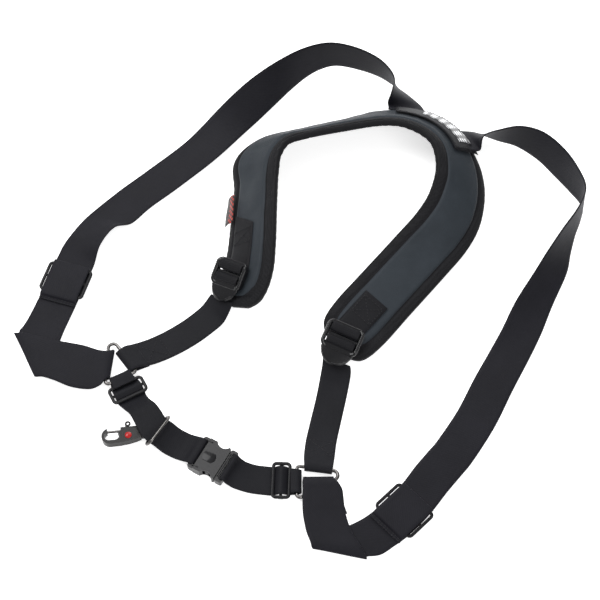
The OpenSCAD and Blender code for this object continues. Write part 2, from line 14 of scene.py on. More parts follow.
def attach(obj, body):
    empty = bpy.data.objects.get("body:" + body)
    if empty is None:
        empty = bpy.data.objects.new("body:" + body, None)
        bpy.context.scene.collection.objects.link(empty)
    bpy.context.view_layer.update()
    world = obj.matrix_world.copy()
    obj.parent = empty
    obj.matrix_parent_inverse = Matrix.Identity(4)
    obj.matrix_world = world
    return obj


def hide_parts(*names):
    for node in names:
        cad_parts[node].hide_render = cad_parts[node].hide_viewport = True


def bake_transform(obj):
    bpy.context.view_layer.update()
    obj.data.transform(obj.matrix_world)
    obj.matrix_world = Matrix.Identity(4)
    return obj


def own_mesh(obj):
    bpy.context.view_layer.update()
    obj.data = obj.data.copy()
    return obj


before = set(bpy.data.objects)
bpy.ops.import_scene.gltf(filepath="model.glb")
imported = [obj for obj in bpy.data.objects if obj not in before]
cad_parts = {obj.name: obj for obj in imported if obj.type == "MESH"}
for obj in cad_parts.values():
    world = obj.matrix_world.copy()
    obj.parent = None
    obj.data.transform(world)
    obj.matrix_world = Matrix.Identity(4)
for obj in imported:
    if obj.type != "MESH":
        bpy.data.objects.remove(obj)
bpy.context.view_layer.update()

MM = 0.001

# ---------- camera: the viewing angle of a table-top picture, 60 degrees down ----------

CAM_TARGET = Vector((-0.0056, -0.0115, 0.0))
CAM_DISTANCE = 1.6
CAM_ELEVATION = math.radians(60)
CAM_LENS = 93.6
SENSOR = 36.0


def make_camera():
    data = bpy.data.cameras.new("camera")
    data.lens = CAM_LENS
    data.sensor_width = SENSOR
    cam = bpy.data.objects.new("camera", data)
    back = Vector((0, -math.cos(CAM_ELEVATION), math.sin(CAM_ELEVATION)))
    cam.location = CAM_TARGET + back * CAM_DISTANCE
    cam.rotation_euler = (math.pi / 2 - CAM_ELEVATION, 0, 0)
    bpy.context.collection.objects.link(cam)
    bpy.context.scene.camera = cam


make_camera()

# ---------- driving sizes, as in the CAD model ----------

WIDE_W = 0.040
NARROW_W = 0.030
WEB_T = 0.0013          # a little under the CAD thickness, which leaves room for the weave's relief
PAD_W = 0.066
SHIFT = np.array([-0.0026, 0.0035, -0.0002])

# A route is a list of stations [x, y, z, turn, lean, spread]: the width direction points to the
# heading "turn" and leans up by "lean" degrees; "spread" widens or gathers the webbing.

PAD_ROUTE = [
    [-0.064, -0.031, 0.013, -20, 25, 0.35], [-0.063, -0.024, 0.015, -19, 26, 0.7],
    [-0.061, -0.012, 0.019, -17, 29, 0.92], [-0.057, 0.005, 0.023, -13, 34, 1],
    [-0.053, 0.032, 0.026, -8, 41, 1], [-0.051, 0.073, 0.028, -5, 45, 1],
    [-0.049, 0.112, 0.029, -9, 46, 1], [-0.048, 0.14, 0.03, -23, 42, 1.08],
    [-0.031, 0.162, 0.03, -49, 47, 1.07], [0, 0.172, 0.03, -72, 52, 1],
    [0.042, 0.183, 0.03, -82, 50, 1.03], [0.08, 0.192, 0.03, -88, 47, 1.06],
    [0.109, 0.193, 0.029, -98, 44, 1.06], [0.138, 0.182, 0.028, -121, 41, 1.03],
    [0.158, 0.158, 0.028, -148, 41, 1], [0.166, 0.122, 0.026, -174, 37, 1],
    [0.16, 0.086, 0.022, -196, 30, 1], [0.145, 0.058, 0.0175, -210, 22, 1],
    [0.121, 0.029, 0.014, -216, 15, 1], [0.085, -0.014, 0.012, -220, 11, 1],
    [0.056, -0.049, 0.0105, -223, 9, 1], [0.04, -0.068, 0.0095, -226, 8, 0.85],
    [0.034, -0.076, 0.009, -227, 8, 0.4],
]
SIDE_LEFT = [
    [0.1133, 0.2213, 0.0112, -6, -6, 1], [0.109, 0.232, 0.015, 25, -38, 1],
    [0.104, 0.242, 0.018, 58, -54, 1], [0.1, 0.252, 0.019, 88, -62, 1],
    [0.09, 0.264, 0.02, 118, -64, 1], [0.074, 0.276, 0.02, 145, -68, 1],
    [0.052, 0.285, 0.021, 160, -78, 1], [0.03, 0.288, 0.021, 160, -95, 1],
    [0.006, 0.28, 0.02, 152, -105, 1], [-0.019, 0.262, 0.0185, 146, -119, 1],
    [-0.046, 0.239, 0.0136, 142, -140, 1], [-0.076, 0.21, 0.006, 140, -166, 1],
    [-0.11, 0.172, 0.0016, 140, -180, 1], [-0.15, 0.134, 0.0012, 141, -180, 1],
    [-0.178, 0.109, 0.0011, 145, -180, 1], [-0.199, 0.087, 0.0017, 153, -180, 1.05],
    [-0.215, 0.073, 0.006, 160, -194, 0.98], [-0.229, 0.05, 0.0065, 163, -194, 1],
    [-0.236, 0.03, 0.0022, 163, -180, 1], [-0.244, 0.006, 0.0022, 163, -180, 1],
    [-0.252, -0.02, 0.002, 163, -180, 1], [-0.264, -0.053, 0.0012, 158, -180, 1.05],
    [-0.273, -0.076, 0.0016, 122, -180, 1.35], [-0.279, -0.08, 0.0034, 117, -180, 1.4],
    [-0.27, -0.0815, 0.006, 115, -180, 1.38], [-0.256, -0.0855, 0.006, 111, -180, 1.34],
    [-0.238, -0.0915, 0.006, 107, -180, 1.36], [-0.216, -0.096, 0.007, 101, -180, 1.26],
    [-0.203, -0.097, 0.0084, 97, -180, 1], [-0.1965, -0.095, 0.0088, 90, -180, 0.82],
    [-0.1918, -0.0925, 0.0074, 85, -180, 0.8], [-0.1906, -0.0925, 0.0055, 85, -180, 0.8],
    [-0.1918, -0.0925, 0.0034, 85, -180, 0.8], [-0.196, -0.093, 0.0022, 86, -180, 0.8],
    [-0.21, -0.093, 0.0032, 90, -180, 0.95], [-0.23, -0.091, 0.0042, 95, -180, 1.1],
]
SIDE_RIGHT = [
    [0.1814, 0.1762, 0.0134, 117, -18, 1], [0.192, 0.18, 0.019, 95, -50, 1],
    [0.212, 0.178, 0.021, 85, -72, 1], [0.233, 0.176, 0.021, 80, -88, 1],
    [0.255, 0.164, 0.0205, 72, -102, 1], [0.273, 0.143, 0.02, 58, -106, 1],
    [0.287, 0.119, 0.021, 47, -97, 1], [0.295, 0.098, 0.021, 42, -86, 1],
    [0.289, 0.078, 0.02, 40, -76, 1], [0.276, 0.056, 0.0175, 34, -54, 1],
    [0.265, 0.034, 0.0135, 22, -40, 1], [0.255, 0.012, 0.01, 10, -26, 1],
    [0.236, -0.022, 0.006, 0, -13, 1], [0.221, -0.054, 0.003, -7, -5, 1],
    [0.206, -0.082, 0.001, -14, 0, 1], [0.189, -0.113, 0.001, -19, 0, 1],
    [0.17, -0.15, 0.001, -24, 0, 1], [0.148, -0.184, 0.001, -35, 0, 1],
    [0.136, -0.199, 0.0014, -40, 0, 1], [0.123, -0.215, 0.0022, -43, 0, 1],
    [0.1095, -0.233, 0.0022, -46, 0, 1], [0.096, -0.248, 0.0022, -46, 0, 1],
    [0.083, -0.26, 0.002, -49, 0, 1], [0.07, -0.2695, 0.0013, -46, 0, 1],
    [0.056, -0.2775, 0.0012, -37, 0, 1.1], [0.036, -0.286, 0.0014, -15, 0, 1.28],
    [0.034, -0.2905, 0.0034, -11, 0, 1.3], [0.031, -0.283, 0.006, -8, 0, 1.24],
    [0.0245, -0.27, 0.006, -4, 0, 1.1], [0.02, -0.252, 0.0066, -1, 0, 1.02],
    [0.0188, -0.236, 0.008, 0, 0, 0.98], [0.0184, -0.228, 0.0086, 0, 0, 0.95],
    [0.0164, -0.221, 0.009, 0, 0, 0.86], [0.0147, -0.216, 0.0076, 0, 0, 0.74],
    [0.0147, -0.2146, 0.0055, 0, 0, 0.74], [0.0147, -0.216, 0.0034, 0, 0, 0.74],
    [0.0156, -0.222, 0.0022, 0, 0, 0.8], [0.018, -0.234, 0.0028, -1, 0, 0.92],
    [0.021, -0.25, 0.004, -3, 0, 1.05],
]
RETURN_LEFT = [
    [-0.2519, -0.0198, 0.0034, 163, -180, 1], [-0.2509, -0.0165, 0.0046, 163, -180, 1],
    [-0.2497, -0.0127, 0.007, 163, -180, 1], [-0.244, 0.006, 0.0073, 163, -180, 1],
    [-0.239, 0.0223, 0.0072, 163, -180, 1], [-0.2385, 0.024, 0.0062, 163, -180, 1],
    [-0.2384, 0.0243, 0.0044, 163, -180, 1],
]
RETURN_RIGHT = [
    [0.0766, -0.2668, 0.0033, -46, 0, 1], [0.0791, -0.2643, 0.0044, -46, 0, 1],
    [0.082, -0.2616, 0.007, -46, 0, 1], [0.096, -0.248, 0.0073, -46, 0, 1],
    [0.1082, -0.2362, 0.0072, -46, 0, 1], [0.1095, -0.2349, 0.0062, -46, 0, 1],
    [0.1098, -0.2347, 0.0044, -46, 0, 1],
]
FRONT_LEFT = [
    [-0.0825, -0.02, 0.0116, -36, 19, 1], [-0.087, -0.027, 0.0066, -39, 9, 1],
    [-0.0925, -0.034, 0.0024, -42, 0, 1], [-0.101, -0.042, 0.0013, -48, 0, 1],
    [-0.114, -0.053, 0.001, -52, 0, 1], [-0.13, -0.064, 0.001, -53, 0, 1],
    [-0.146, -0.073, 0.0016, -53, 0, 1], [-0.16, -0.08, 0.004, -54, 0, 1],
    [-0.17, -0.084, 0.0074, -54, 0, 0.95], [-0.175, -0.0875, 0.0087, -54, 0, 0.9],
    [-0.1784, -0.0898, 0.0072, -54, 0, 0.9], [-0.1793, -0.0904, 0.0055, -54, 0, 0.9],
    [-0.1784, -0.0898, 0.0038, -54, 0, 0.9], [-0.174, -0.0868, 0.0022, -54, 0, 0.92],
    [-0.162, -0.08, 0.0016, -54, 0, 1],
]
FRONT_RIGHT = [
    [0.0335, -0.0905, 0.0094, -20, -6, 0.96], [0.0334, -0.097, 0.0054, -12, -2, 0.98],
    [0.0318, -0.107, 0.0023, -6, 0, 1], [0.028, -0.127, 0.0012, -3, 0, 1],
    [0.0225, -0.152, 0.001, -5, 0, 1], [0.018, -0.173, 0.0016, -7, 0, 1],
    [0.016, -0.188, 0.004, -9, 0, 1], [0.015, -0.198, 0.0076, -9, 0, 0.97],
    [0.0146, -0.2035, 0.0088, -8, 0, 0.92], [0.0145, -0.2076, 0.0076, -8, 0, 0.9],
    [0.0144, -0.2086, 0.0055, -8, 0, 0.9], [0.0145, -0.2076, 0.0034, -8, 0, 0.9],
    [0.0148, -0.202, 0.0021, -8, 0, 0.94], [0.016, -0.188, 0.0016, -10, 0, 1],
]
CHEST_LEFT = [
    [-0.1764, -0.1157, 0.0078, 28, 0, 0.8], [-0.1804, -0.1078, 0.0087, 28, 0, 0.74],
    [-0.1823, -0.1044, 0.0072, 28, 0, 0.74], [-0.1827, -0.1036, 0.0055, 28, 0, 0.74],
    [-0.1823, -0.1044, 0.0038, 28, 0, 0.74], [-0.1804, -0.1078, 0.0022, 28, 0, 0.8],
    [-0.1769, -0.1136, 0.002, 28, 0, 0.95], [-0.1734, -0.1202, 0.0057, 27, 0, 0.98],
    [-0.1699, -0.1268, 0.002, 27, 0, 0.98], [-0.1682, -0.13, 0.0021, 26, 0, 0.95],
    [-0.163, -0.1375, 0.0075, 24, 4, 0.9], [-0.1565, -0.145, 0.012, 27, 3, 0.9],
    [-0.15, -0.156, 0.0132, 37, -1, 0.96], [-0.1456, -0.1635, 0.0132, 48, -2, 1],
    [-0.141, -0.168, 0.0122, 55, 0, 1], [-0.1355, -0.1716, 0.011, 57, 0, 1],
    [-0.127, -0.177, 0.007, 58, 0, 1], [-0.117, -0.1816, 0.005, 60, 0, 1],
    [-0.1095, -0.1848, 0.0066, 61, 0, 1], [-0.105, -0.1871, 0.0092, 61, 0, 1],
    [-0.1023, -0.1885, 0.0099, 61, 0, 1], [-0.1002, -0.1897, 0.0092, 61, 0, 1],
    [-0.0996, -0.19, 0.007, 61, 0, 1], [-0.0995, -0.1901, 0.0045, 61, 0, 1],
]
CHEST_RIGHT = [
    [-0.0733, -0.2046, 0.0045, 61, 0, 1], [-0.0733, -0.2046, 0.0074, 61, 0, 1],
    [-0.0728, -0.2049, 0.0095, 61, 0, 1], [-0.0712, -0.2057, 0.01, 61, 0, 1],
    [-0.0696, -0.2066, 0.0095, 61, 0, 1], [-0.068, -0.2075, 0.007, 61, 0, 1],
    [-0.0654, -0.2087, 0.0048, 62, 0, 1], [-0.06, -0.2113, 0.0032, 66, 0, 1],
    [-0.048, -0.2146, 0.0018, 76, 0, 1], [-0.036, -0.2162, 0.0016, 84, 0, 1],
    [-0.0285, -0.2168, 0.0019, 87, 0, 1], [-0.021, -0.217, 0.0057, 88, 0, 0.98],
    [-0.0135, -0.2173, 0.0019, 88, 0, 0.95], [-0.0104, -0.2182, 0.0019, 89, 0, 0.86],
    [-0.006, -0.219, 0.0022, 90, 0, 0.8], [-0.0029, -0.219, 0.0038, 90, 0, 0.8],
    [-0.0021, -0.219, 0.0055, 90, 0, 0.8], [-0.0029, -0.219, 0.0072, 90, 0, 0.8],
    [-0.006, -0.219, 0.0087, 90, 0, 0.8], [-0.012, -0.2185, 0.008, 90, 0, 0.84],
]


# ---------- vectors and meshes ----------


def unit(v):
    v = np.asarray(v, float)
    return v / max(np.linalg.norm(v), 1e-12)


def spline(a, b, c, d, t):
    """Catmull-Rom value between b and c."""
    return 0.5 * (
        2 * b + (c - a) * t + (2 * a - 5 * b + 4 * c - d) * t * t + (3 * b - a - 3 * c + d) * t**3
    )


def finer(route, per):
    """Stations of a route, with extra ones between."""
    r = np.array(route, float)
    last = len(r) - 1
    out = []
    for i in range(per * last + 1):
        k = min(i // per, last - 1)
        t = i / per - k
        out.append(spline(r[max(k - 1, 0)], r[k], r[k + 1], r[min(k + 2, last)], t))
    return np.array(out)


class Course:
    """Centres, width directions, face directions, lengths and spreads along a route."""

    def __init__(self, route, per):
        s = finer(route, per)
        self.c = s[:, :3] + SHIFT
        turn, lean = np.radians(s[:, 3]), np.radians(s[:, 4])
        self.w = np.stack(
            [np.cos(lean) * np.cos(turn), np.cos(lean) * np.sin(turn), np.sin(lean)], axis=1
        )
        t = np.gradient(self.c, axis=0)
        self.t = t / np.linalg.norm(t, axis=1)[:, None]
        n = np.cross(self.w, self.t)
        self.n = n / np.linalg.norm(n, axis=1)[:, None]
        self.spread = s[:, 5]
        step = np.linalg.norm(np.diff(self.c, axis=0), axis=1)
        self.s = np.concatenate([[0], np.cumsum(step)])
        self.length = float(self.s[-1])

    def point(self, i, across, out):
        return self.c[i] + across * self.w[i] + out * self.n[i]

    def at(self, x):
        """(centre, width, normal, travel, spread) at a fractional station number x."""
        x = min(max(x, 0), len(self.c) - 1)
        i = min(int(x), len(self.c) - 2)
        f = x - i
        mix = lambda a: a[i] * (1 - f) + a[i + 1] * f
        return mix(self.c), unit(mix(self.w)), unit(mix(self.n)), unit(mix(self.t)), mix(self.spread)


def along(p, q, fractions):
    """Points at these fractions of the way from one flat point to another."""
    return [(p[0] + (q[0] - p[0]) * f, p[1] + (q[1] - p[1]) * f) for f in fractions]


def oblong(half_w, half_h, power_w, power_h, sides):
    """Points round an oval; powers under 1 make it squarer."""
    out = []
    for k in range(sides):
        c, s = math.cos(2 * math.pi * k / sides), math.sin(2 * math.pi * k / sides)
        x = half_w * math.copysign(abs(c) ** power_w, c)
        out.append((x, half_h * math.copysign(abs(s) ** power_h, s)))
    return out


def crowded(half, count):
    """Places from -half to half, closer together towards the ends."""
    return half * np.sin(np.linspace(-math.pi / 2, math.pi / 2, count))


def add(name, mesh, body):
    """Puts a mesh in the scene as a piece, which rides on a body where one is given."""
    obj = bpy.data.objects.new(name, mesh)
    bpy.context.collection.objects.link(obj)
    if body:
        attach(obj, body)
    return obj


def make(name, verts, faces, material, body, uvs=None):
    """A smooth mesh piece that rides on a body, faces outward."""
    mesh = bpy.data.meshes.new(name)
    mesh.from_pydata([tuple(map(float, v)) for v in verts], [], [tuple(map(int, f)) for f in faces])
    mesh.materials.append(material)
    if uvs is not None:
        layer = mesh.uv_layers.new(name="UVMap")
        uv = np.array(uvs, dtype=np.float32)
        loops = np.empty(len(mesh.loops), dtype=np.int32)
        mesh.loops.foreach_get("vertex_index", loops)
        layer.data.foreach_set("uv", uv[loops].ravel())
    mesh.polygons.foreach_set("use_smooth", [True] * len(mesh.polygons))
    bm = bmesh.new()
    bm.from_mesh(mesh)
    bmesh.ops.recalc_face_normals(bm, faces=bm.faces)
    bm.to_mesh(mesh)
    bm.free()
    return add(name, mesh, body)


def sweep_faces(rings, n, closed=False):
    """Faces between rings of n points each, closed round or capped at both ends."""
    faces = []
    laps = rings if closed else rings - 1
    for i in range(laps):
        a, b = i * n, ((i + 1) % rings) * n
        for j in range(n):
            k = (j + 1) % n
            faces.append((a + j, b + j, b + k, a + k))
    if not closed:
        faces.append(tuple(range(n)))
        faces.append(tuple(range((rings - 1) * n + n - 1, (rings - 1) * n - 1, -1)))
    return faces


def join(name, objs, body):
    """Several meshes as one piece."""
    bm = bmesh.new()
    for o in objs:
        part = o.data.copy()
        part.transform(o.matrix_world)
        bm.from_mesh(part)
        bpy.data.meshes.remove(part)
    mesh = bpy.data.meshes.new(name)
    bm.to_mesh(mesh)
    bm.free()
    for m in objs[0].data.materials:
        mesh.materials.append(m)
    for o in objs:
        bpy.data.objects.remove(o)
    return add(name, mesh, body)


# ---------- materials ----------


class Nodes:
    """Short names for building a node material."""

    def __init__(self, name, rgb, rough, metallic=0.0, sheen=0.0, coat=0.0, specular=0.5):
        self.mat = bpy.data.materials.new(name)
        self.mat.use_nodes = True
        self.tree = self.mat.node_tree
        self.bsdf = self.tree.nodes["Principled BSDF"]
        self.rgb = rgb
        looks = {
            "Base Color": (*rgb, 1), "Roughness": rough, "Metallic": metallic, "Sheen Weight": sheen,
            "Sheen Roughness": 0.35, "Coat Weight": coat, "Coat Roughness": 0.08,
            "Specular IOR Level": specular,
        }
        for socket, value in looks.items():
            self.bsdf.inputs[socket].default_value = value

    def new(self, kind, **settings):
        node = self.tree.nodes.new(kind)
        for key, value in settings.items():
            if key in node.inputs:
                node.inputs[key].default_value = value
            else:
                setattr(node, key, value)
        return node

    def link(self, a, b):
        self.tree.links.new(a, b)

    def coords(self, kind="Object", scale=(1, 1, 1), turn=0.0):
        tex = self.new("ShaderNodeTexCoord")
        mapping = self.new("ShaderNodeMapping")
        mapping.inputs["Scale"].default_value = scale
        mapping.inputs["Rotation"].default_value = (0, 0, turn)
        self.link(tex.outputs[kind], mapping.inputs["Vector"])
        return mapping.outputs["Vector"]

    def noise(self, vector, scale, detail=3.0, rough=0.5):
        node = self.new("ShaderNodeTexNoise")
        node.inputs["Scale"].default_value = scale
        node.inputs["Detail"].default_value = detail
        node.inputs["Roughness"].default_value = rough
        self.link(vector, node.inputs["Vector"])
        return node.outputs["Fac"]

    def wave(self, vector, scale, direction="X", distortion=0.0, profile="SIN"):
        node = self.new("ShaderNodeTexWave")
        node.bands_direction = direction
        node.wave_profile = profile
        node.inputs["Scale"].default_value = scale
        node.inputs["Distortion"].default_value = distortion
        node.inputs["Detail"].default_value = 0
        self.link(vector, node.inputs["Vector"])
        return node.outputs["Fac"]

    def math(self, op, a, b):
        node = self.new("ShaderNodeMath", operation=op)
        for socket, value in zip(node.inputs, (a, b)):
            if isinstance(value, (int, float)):
                socket.default_value = value
            else:
                self.link(value, socket)
        return node.outputs[0]

    def total(self, *terms):
        """Sum of outputs, each times its weight."""
        out = None
        for output, weight in terms:
            part = output if weight == 1 else self.math("MULTIPLY", output, weight)
            out = part if out is None else self.math("ADD", out, part)
        return out

    def ramp(self, fac, stops):
        node = self.new("ShaderNodeValToRGB")
        ramp = node.color_ramp
        while len(ramp.elements) < len(stops):
            ramp.elements.new(0.5)
        for e, (pos, rgb) in zip(ramp.elements, stops):
            e.position = pos
            e.color = (*rgb, 1)
        self.link(fac, node.inputs["Fac"])
        return node.outputs["Color"]

    def tone(self, fac, low, high):
        """Base colour between low and high times the material's colour."""
        dark = tuple(c * low for c in self.rgb)
        light = tuple(c * high for c in self.rgb)
        self.link(self.ramp(fac, [(0.25, dark), (0.75, light)]), self.bsdf.inputs["Base Color"])

    def rough(self, fac, low, high):
        node = self.new("ShaderNodeMapRange")
        node.inputs["To Min"].default_value = low
        node.inputs["To Max"].default_value = high
        self.link(fac, node.inputs["Value"])
        self.link(node.outputs["Result"], self.bsdf.inputs["Roughness"])

    def bump(self, height, strength, distance):
        node = self.new("ShaderNodeBump")
        node.inputs["Strength"].default_value = strength
        node.inputs["Distance"].default_value = distance
        self.link(height, node.inputs["Height"])
        self.link(node.outputs["Normal"], self.bsdf.inputs["Normal"])


# Wave texture: one band is 2 pi / 20 units long at scale 1
WAVE_UNIT = 2 * math.pi / 20


def webbing(name, rgb, pitch, sheen):
    """Woven tape: fine ribs across the width, columns of twill along it, in UV metres."""
    m = Nodes(name, rgb, 0.55, sheen=sheen, specular=0.1)
    uv = m.coords("UV")
    ribs = m.wave(uv, WAVE_UNIT / pitch, "X", 0.4)
    diagonal = m.coords("UV", turn=math.radians(38))
    twill = m.wave(diagonal, WAVE_UNIT / (pitch * 1.6), "Y", 0.6)
    weave = m.total((ribs, 0.6), (twill, 0.4))
    fibres = m.noise(m.coords("UV", (60, 900, 1)), 1.0, 3, 0.6)
    cloud = m.noise(m.coords("Object"), 22, 3, 0.55)
    m.tone(m.total((weave, 0.4), (fibres, 0.25), (cloud, 0.4)), 0.6, 1.5)
    m.rough(fibres, 0.42, 0.66)
    m.bump(m.total((weave, 1), (fibres, 0.5)), 0.35, 0.0004)
    m.bsdf.inputs["Sheen Tint"].default_value = (0.75, 0.76, 0.85, 1)
    return m.mat


def cloth(name, rgb, pitch, sheen, rough, cloud_scale=30, grain=0.35):
    """Plain woven or knitted cloth, in object metres."""
    m = Nodes(name, rgb, rough, sheen=sheen, specular=0.12)
    space = m.coords("Object")
    turned = m.coords("Object", turn=math.radians(35))
    warp, weft = (m.wave(turned, WAVE_UNIT / pitch, way, 1.5) for way in "XY")
    weave = m.math("MULTIPLY", warp, weft)
    fuzz = m.noise(space, 1800, 2, 0.6)
    cloud = m.noise(space, cloud_scale, 4, 0.6)
    m.tone(m.total((weave, grain), (fuzz, 0.3), (cloud, 0.45)), 0.7, 1.35)
    m.rough(cloud, rough - 0.07, rough + 0.07)
    m.bump(m.math("ADD", weave, fuzz), 0.3, 0.0003)
    m.bsdf.inputs["Sheen Tint"].default_value = (0.8, 0.85, 0.9, 1)
    return m.mat


def spacer_mesh(name, rgb):
    """Open knitted mesh with small round cells."""
    m = Nodes(name, rgb, 0.75, sheen=0.05, specular=0.12)
    cells = m.new("ShaderNodeTexVoronoi")
    cells.inputs["Scale"].default_value = 620
    cells.inputs["Randomness"].default_value = 0.25
    m.link(m.coords("Object"), cells.inputs["Vector"])
    fuzz = m.noise(m.coords("Object"), 700, 3, 0.6)
    m.tone(m.total((cells.outputs["Distance"], 0.9), (fuzz, 0.4)), 0.5, 1.6)
    m.bump(cells.outputs["Distance"], 0.6, 0.0006)
    return m.mat


def plastic(name, rgb, rough, grain, coat=0.0):
    """Moulded plastic with fine grain and worn patches."""
    m = Nodes(name, rgb, rough, coat=coat, specular=0.16)
    space = m.coords("Object")
    fine = m.noise(space, 1400, 2, 0.5)
    wide = m.noise(space, 60, 4, 0.65)
    m.tone(wide, 0.8, 1.3)
    m.rough(wide, rough - 0.06, rough + 0.12)
    m.bump(m.total((fine, 1), (wide, 0.4)), grain, 0.0002)
    return m.mat


def metal(name, rgb, rough):
    """Polished or plated wire, with faint draw marks."""
    m = Nodes(name, rgb, rough, metallic=1.0)
    marks = m.noise(m.coords("Object", (1, 1, 6)), 500, 3, 0.6)
    wide = m.noise(m.coords("Object"), 90, 3, 0.6)
    m.tone(wide, 0.8, 1.15)
    m.rough(marks, max(rough - 0.05, 0.02), rough + 0.12)
    m.bump(marks, 0.08, 0.0002)
    return m.mat


def striped_label(name):
    """Reflective tape with plain dark bars."""
    m = Nodes(name, (0.6, 0.61, 0.63), 0.3, specular=0.7)
    uv = m.coords("UV")
    bars = m.wave(uv, WAVE_UNIT / 0.009, "X", 0.0)
    lines = m.wave(uv, WAVE_UNIT / 0.0045, "Y", 0.0)
    shape = m.math("GREATER_THAN", m.math("MULTIPLY", bars, lines), 0.28)
    grain = m.noise(uv, 1500, 2, 0.5)
    look = m.math("SUBTRACT", shape, m.math("MULTIPLY", grain, 0.2))
    m.link(m.ramp(look, [(0.1, (0.03, 0.03, 0.033)), (0.6, (0.75, 0.76, 0.78))]), m.bsdf.inputs["Base Color"])
    m.bump(grain, 0.2, 0.0002)
    return m.mat


def embroidered(name, ground, thread):
    """Woven tag with a plain zigzag in coloured thread."""
    m = Nodes(name, ground, 0.6, sheen=0.2)
    zig, zag = (
        m.wave(m.coords("UV", turn=math.radians(a)), WAVE_UNIT / 0.0035, "X", 0.0, "TRI") for a in (45, -45)
    )
    fine = m.wave(m.coords("UV"), WAVE_UNIT / 0.0006, "X", 0.3)
    look = m.total((m.math("MULTIPLY", zig, zag), 1), (fine, 0.15))
    m.link(m.ramp(look, [(0.28, ground), (0.4, thread)]), m.bsdf.inputs["Base Color"])
    m.bump(m.math("ADD", look, fine), 0.4, 0.0003)
    return m.mat


WEB_WIDE = webbing("webbing_wide", (0.0076, 0.0075, 0.0102), 0.0011, 0.10)
WEB_NARROW = webbing("webbing_narrow", (0.0066, 0.0067, 0.0086), 0.0010, 0.08)
WEB_BLACK = webbing("webbing_black", (0.0065, 0.0065, 0.0078), 0.0010, 0.05)
FACE_CLOTH = cloth("yoke_face", (0.0225, 0.0275, 0.0335), 0.0008, 0.08, 0.5, 26, 0.2)
BORDER_MESH = spacer_mesh("yoke_border", (0.0065, 0.0065, 0.0075))
LINING_CLOTH = spacer_mesh("yoke_lining", (0.0065, 0.0065, 0.0075))
BINDING_TAPE = webbing("binding_tape", (0.0065, 0.0065, 0.0075), 0.0008, 0.06)
THREAD = cloth("thread", (0.018, 0.018, 0.02), 0.0003, 0.1, 0.6)
LOCK_PLASTIC = plastic("lock_plastic", (0.0045, 0.0045, 0.0055), 0.2, 0.1, coat=0.4)
SLIDER_PLASTIC = plastic("slider_plastic", (0.006, 0.006, 0.007), 0.33, 0.25)
BUCKLE_PLASTIC = plastic("buckle_plastic", (0.0035, 0.0035, 0.0045), 0.28, 0.2, coat=0.2)
RING_METAL = metal("ring_metal", (0.13, 0.125, 0.122), 0.2)
SPRING_STEEL = metal("spring_steel", (0.3, 0.3, 0.31), 0.3)
HOOK_COAT = plastic("hook_coat", (0.005, 0.0045, 0.0045), 0.3, 0.4, coat=0.08)
BADGE = plastic("badge", (0.27, 0.008, 0.008), 0.22, 0.05, coat=0.3)
LABEL = striped_label("label")
TAG_DARK = embroidered("tag_dark", (0.012, 0.012, 0.013), (0.02, 0.018, 0.018))
TAG_RED = embroidered("tag_red", (0.012, 0.011, 0.011), (0.42, 0.035, 0.02))

# ---------- webbing ----------

EDGE_SEGMENTS = 3


def tape_section(half, t, wide):
    """Closed outline of a tape's section, [across, out], with round selvedges and a thin ridge at each."""
    r = t / 2
    xs = np.linspace(-half + r, half - r, wide)
    swell = np.array([1.12 if abs(x) > half - 0.0035 else 1.0 for x in xs])
    top = [(x, r * k) for x, k in zip(xs, swell)]
    right = [
        (half - r + r * math.cos(a), r * math.sin(a))
        for a in np.linspace(math.pi / 2, -math.pi / 2, EDGE_SEGMENTS + 2)[1:-1]
    ]
    bottom = [(x, -y) for x, y in reversed(top)]
    left = [(-x, -y) for x, y in right]
    return top + right + bottom + left


def tape(name, route, width, material, body, per=10, wide=11, t=WEB_T, wobble=0.0004, seed=0.0):
    """Webbing along a route, a closed mesh with UVs in metres along and across."""
    course = Course(route, per)
    verts, uvs = [], []
    for i in range(len(course.c)):
        half = course.spread[i] * width / 2
        section = tape_section(half, t, wide)
        for a, o in section:
            lift = wobble * noise.noise(Vector((course.s[i] * 28 + seed, a * 30, seed)))
            verts.append(course.point(i, a, o + lift))
            uvs.append((course.s[i], a + (0.1 if o < 0 else 0)))
    return make(name, verts, sweep_faces(len(course.c), len(section)), material, body, uvs), course


def stitch_mesh(points, normals, tangents, length, radius):
    """Vertices and faces of small thread bumps."""
    verts, faces = [], []
    ring = 6
    profile = [(-0.5, 0.25), (-0.32, 0.85), (0, 1.0), (0.32, 0.85), (0.5, 0.25)]
    for p, n, t in zip(points, normals, tangents):
        n, t = unit(n), unit(t)
        side = unit(np.cross(n, t))
        base = len(verts)
        for along, size in profile:
            for k in range(ring):
                a = 2 * math.pi * k / ring
                off = radius * size * (math.cos(a) * side + 0.7 * math.sin(a) * n)
                verts.append(p + t * along * length + off)
        faces += [tuple(base + v for v in f) for f in sweep_faces(len(profile), ring)]
    return verts, faces


STITCH_PITCH = 0.0034
STITCH_L = 0.0024
THREAD_R = 0.00036


def stitches_along(name, line, normals, closed=False):
    """A row of stitches along a polyline, standing a little off it on its normals."""
    line, normals = np.array(line), np.array(normals)
    if closed:
        line = np.vstack([line, line[:1]])
        normals = np.vstack([normals, normals[:1]])
    step = np.linalg.norm(np.diff(line, axis=0), axis=1)
    s = np.concatenate([[0], np.cumsum(step)])
    count = max(int(s[-1] / STITCH_PITCH), 1)
    where = (np.arange(count) + 0.5) * s[-1] / count
    at = lambda x, arr: np.stack([np.interp(x, s, arr[:, k]) for k in range(3)], axis=1)
    p, n = at(where, line), at(where, normals)
    ahead = at(np.minimum(where + 0.0008, s[-1]), line)
    behind = at(np.maximum(where - 0.0008, 0), line)
    n = n / np.linalg.norm(n, axis=1)[:, None]
    verts, faces = stitch_mesh(p + n * 0.0001, n, ahead - behind, STITCH_L, THREAD_R)
    return make(name, verts, faces, THREAD, None)


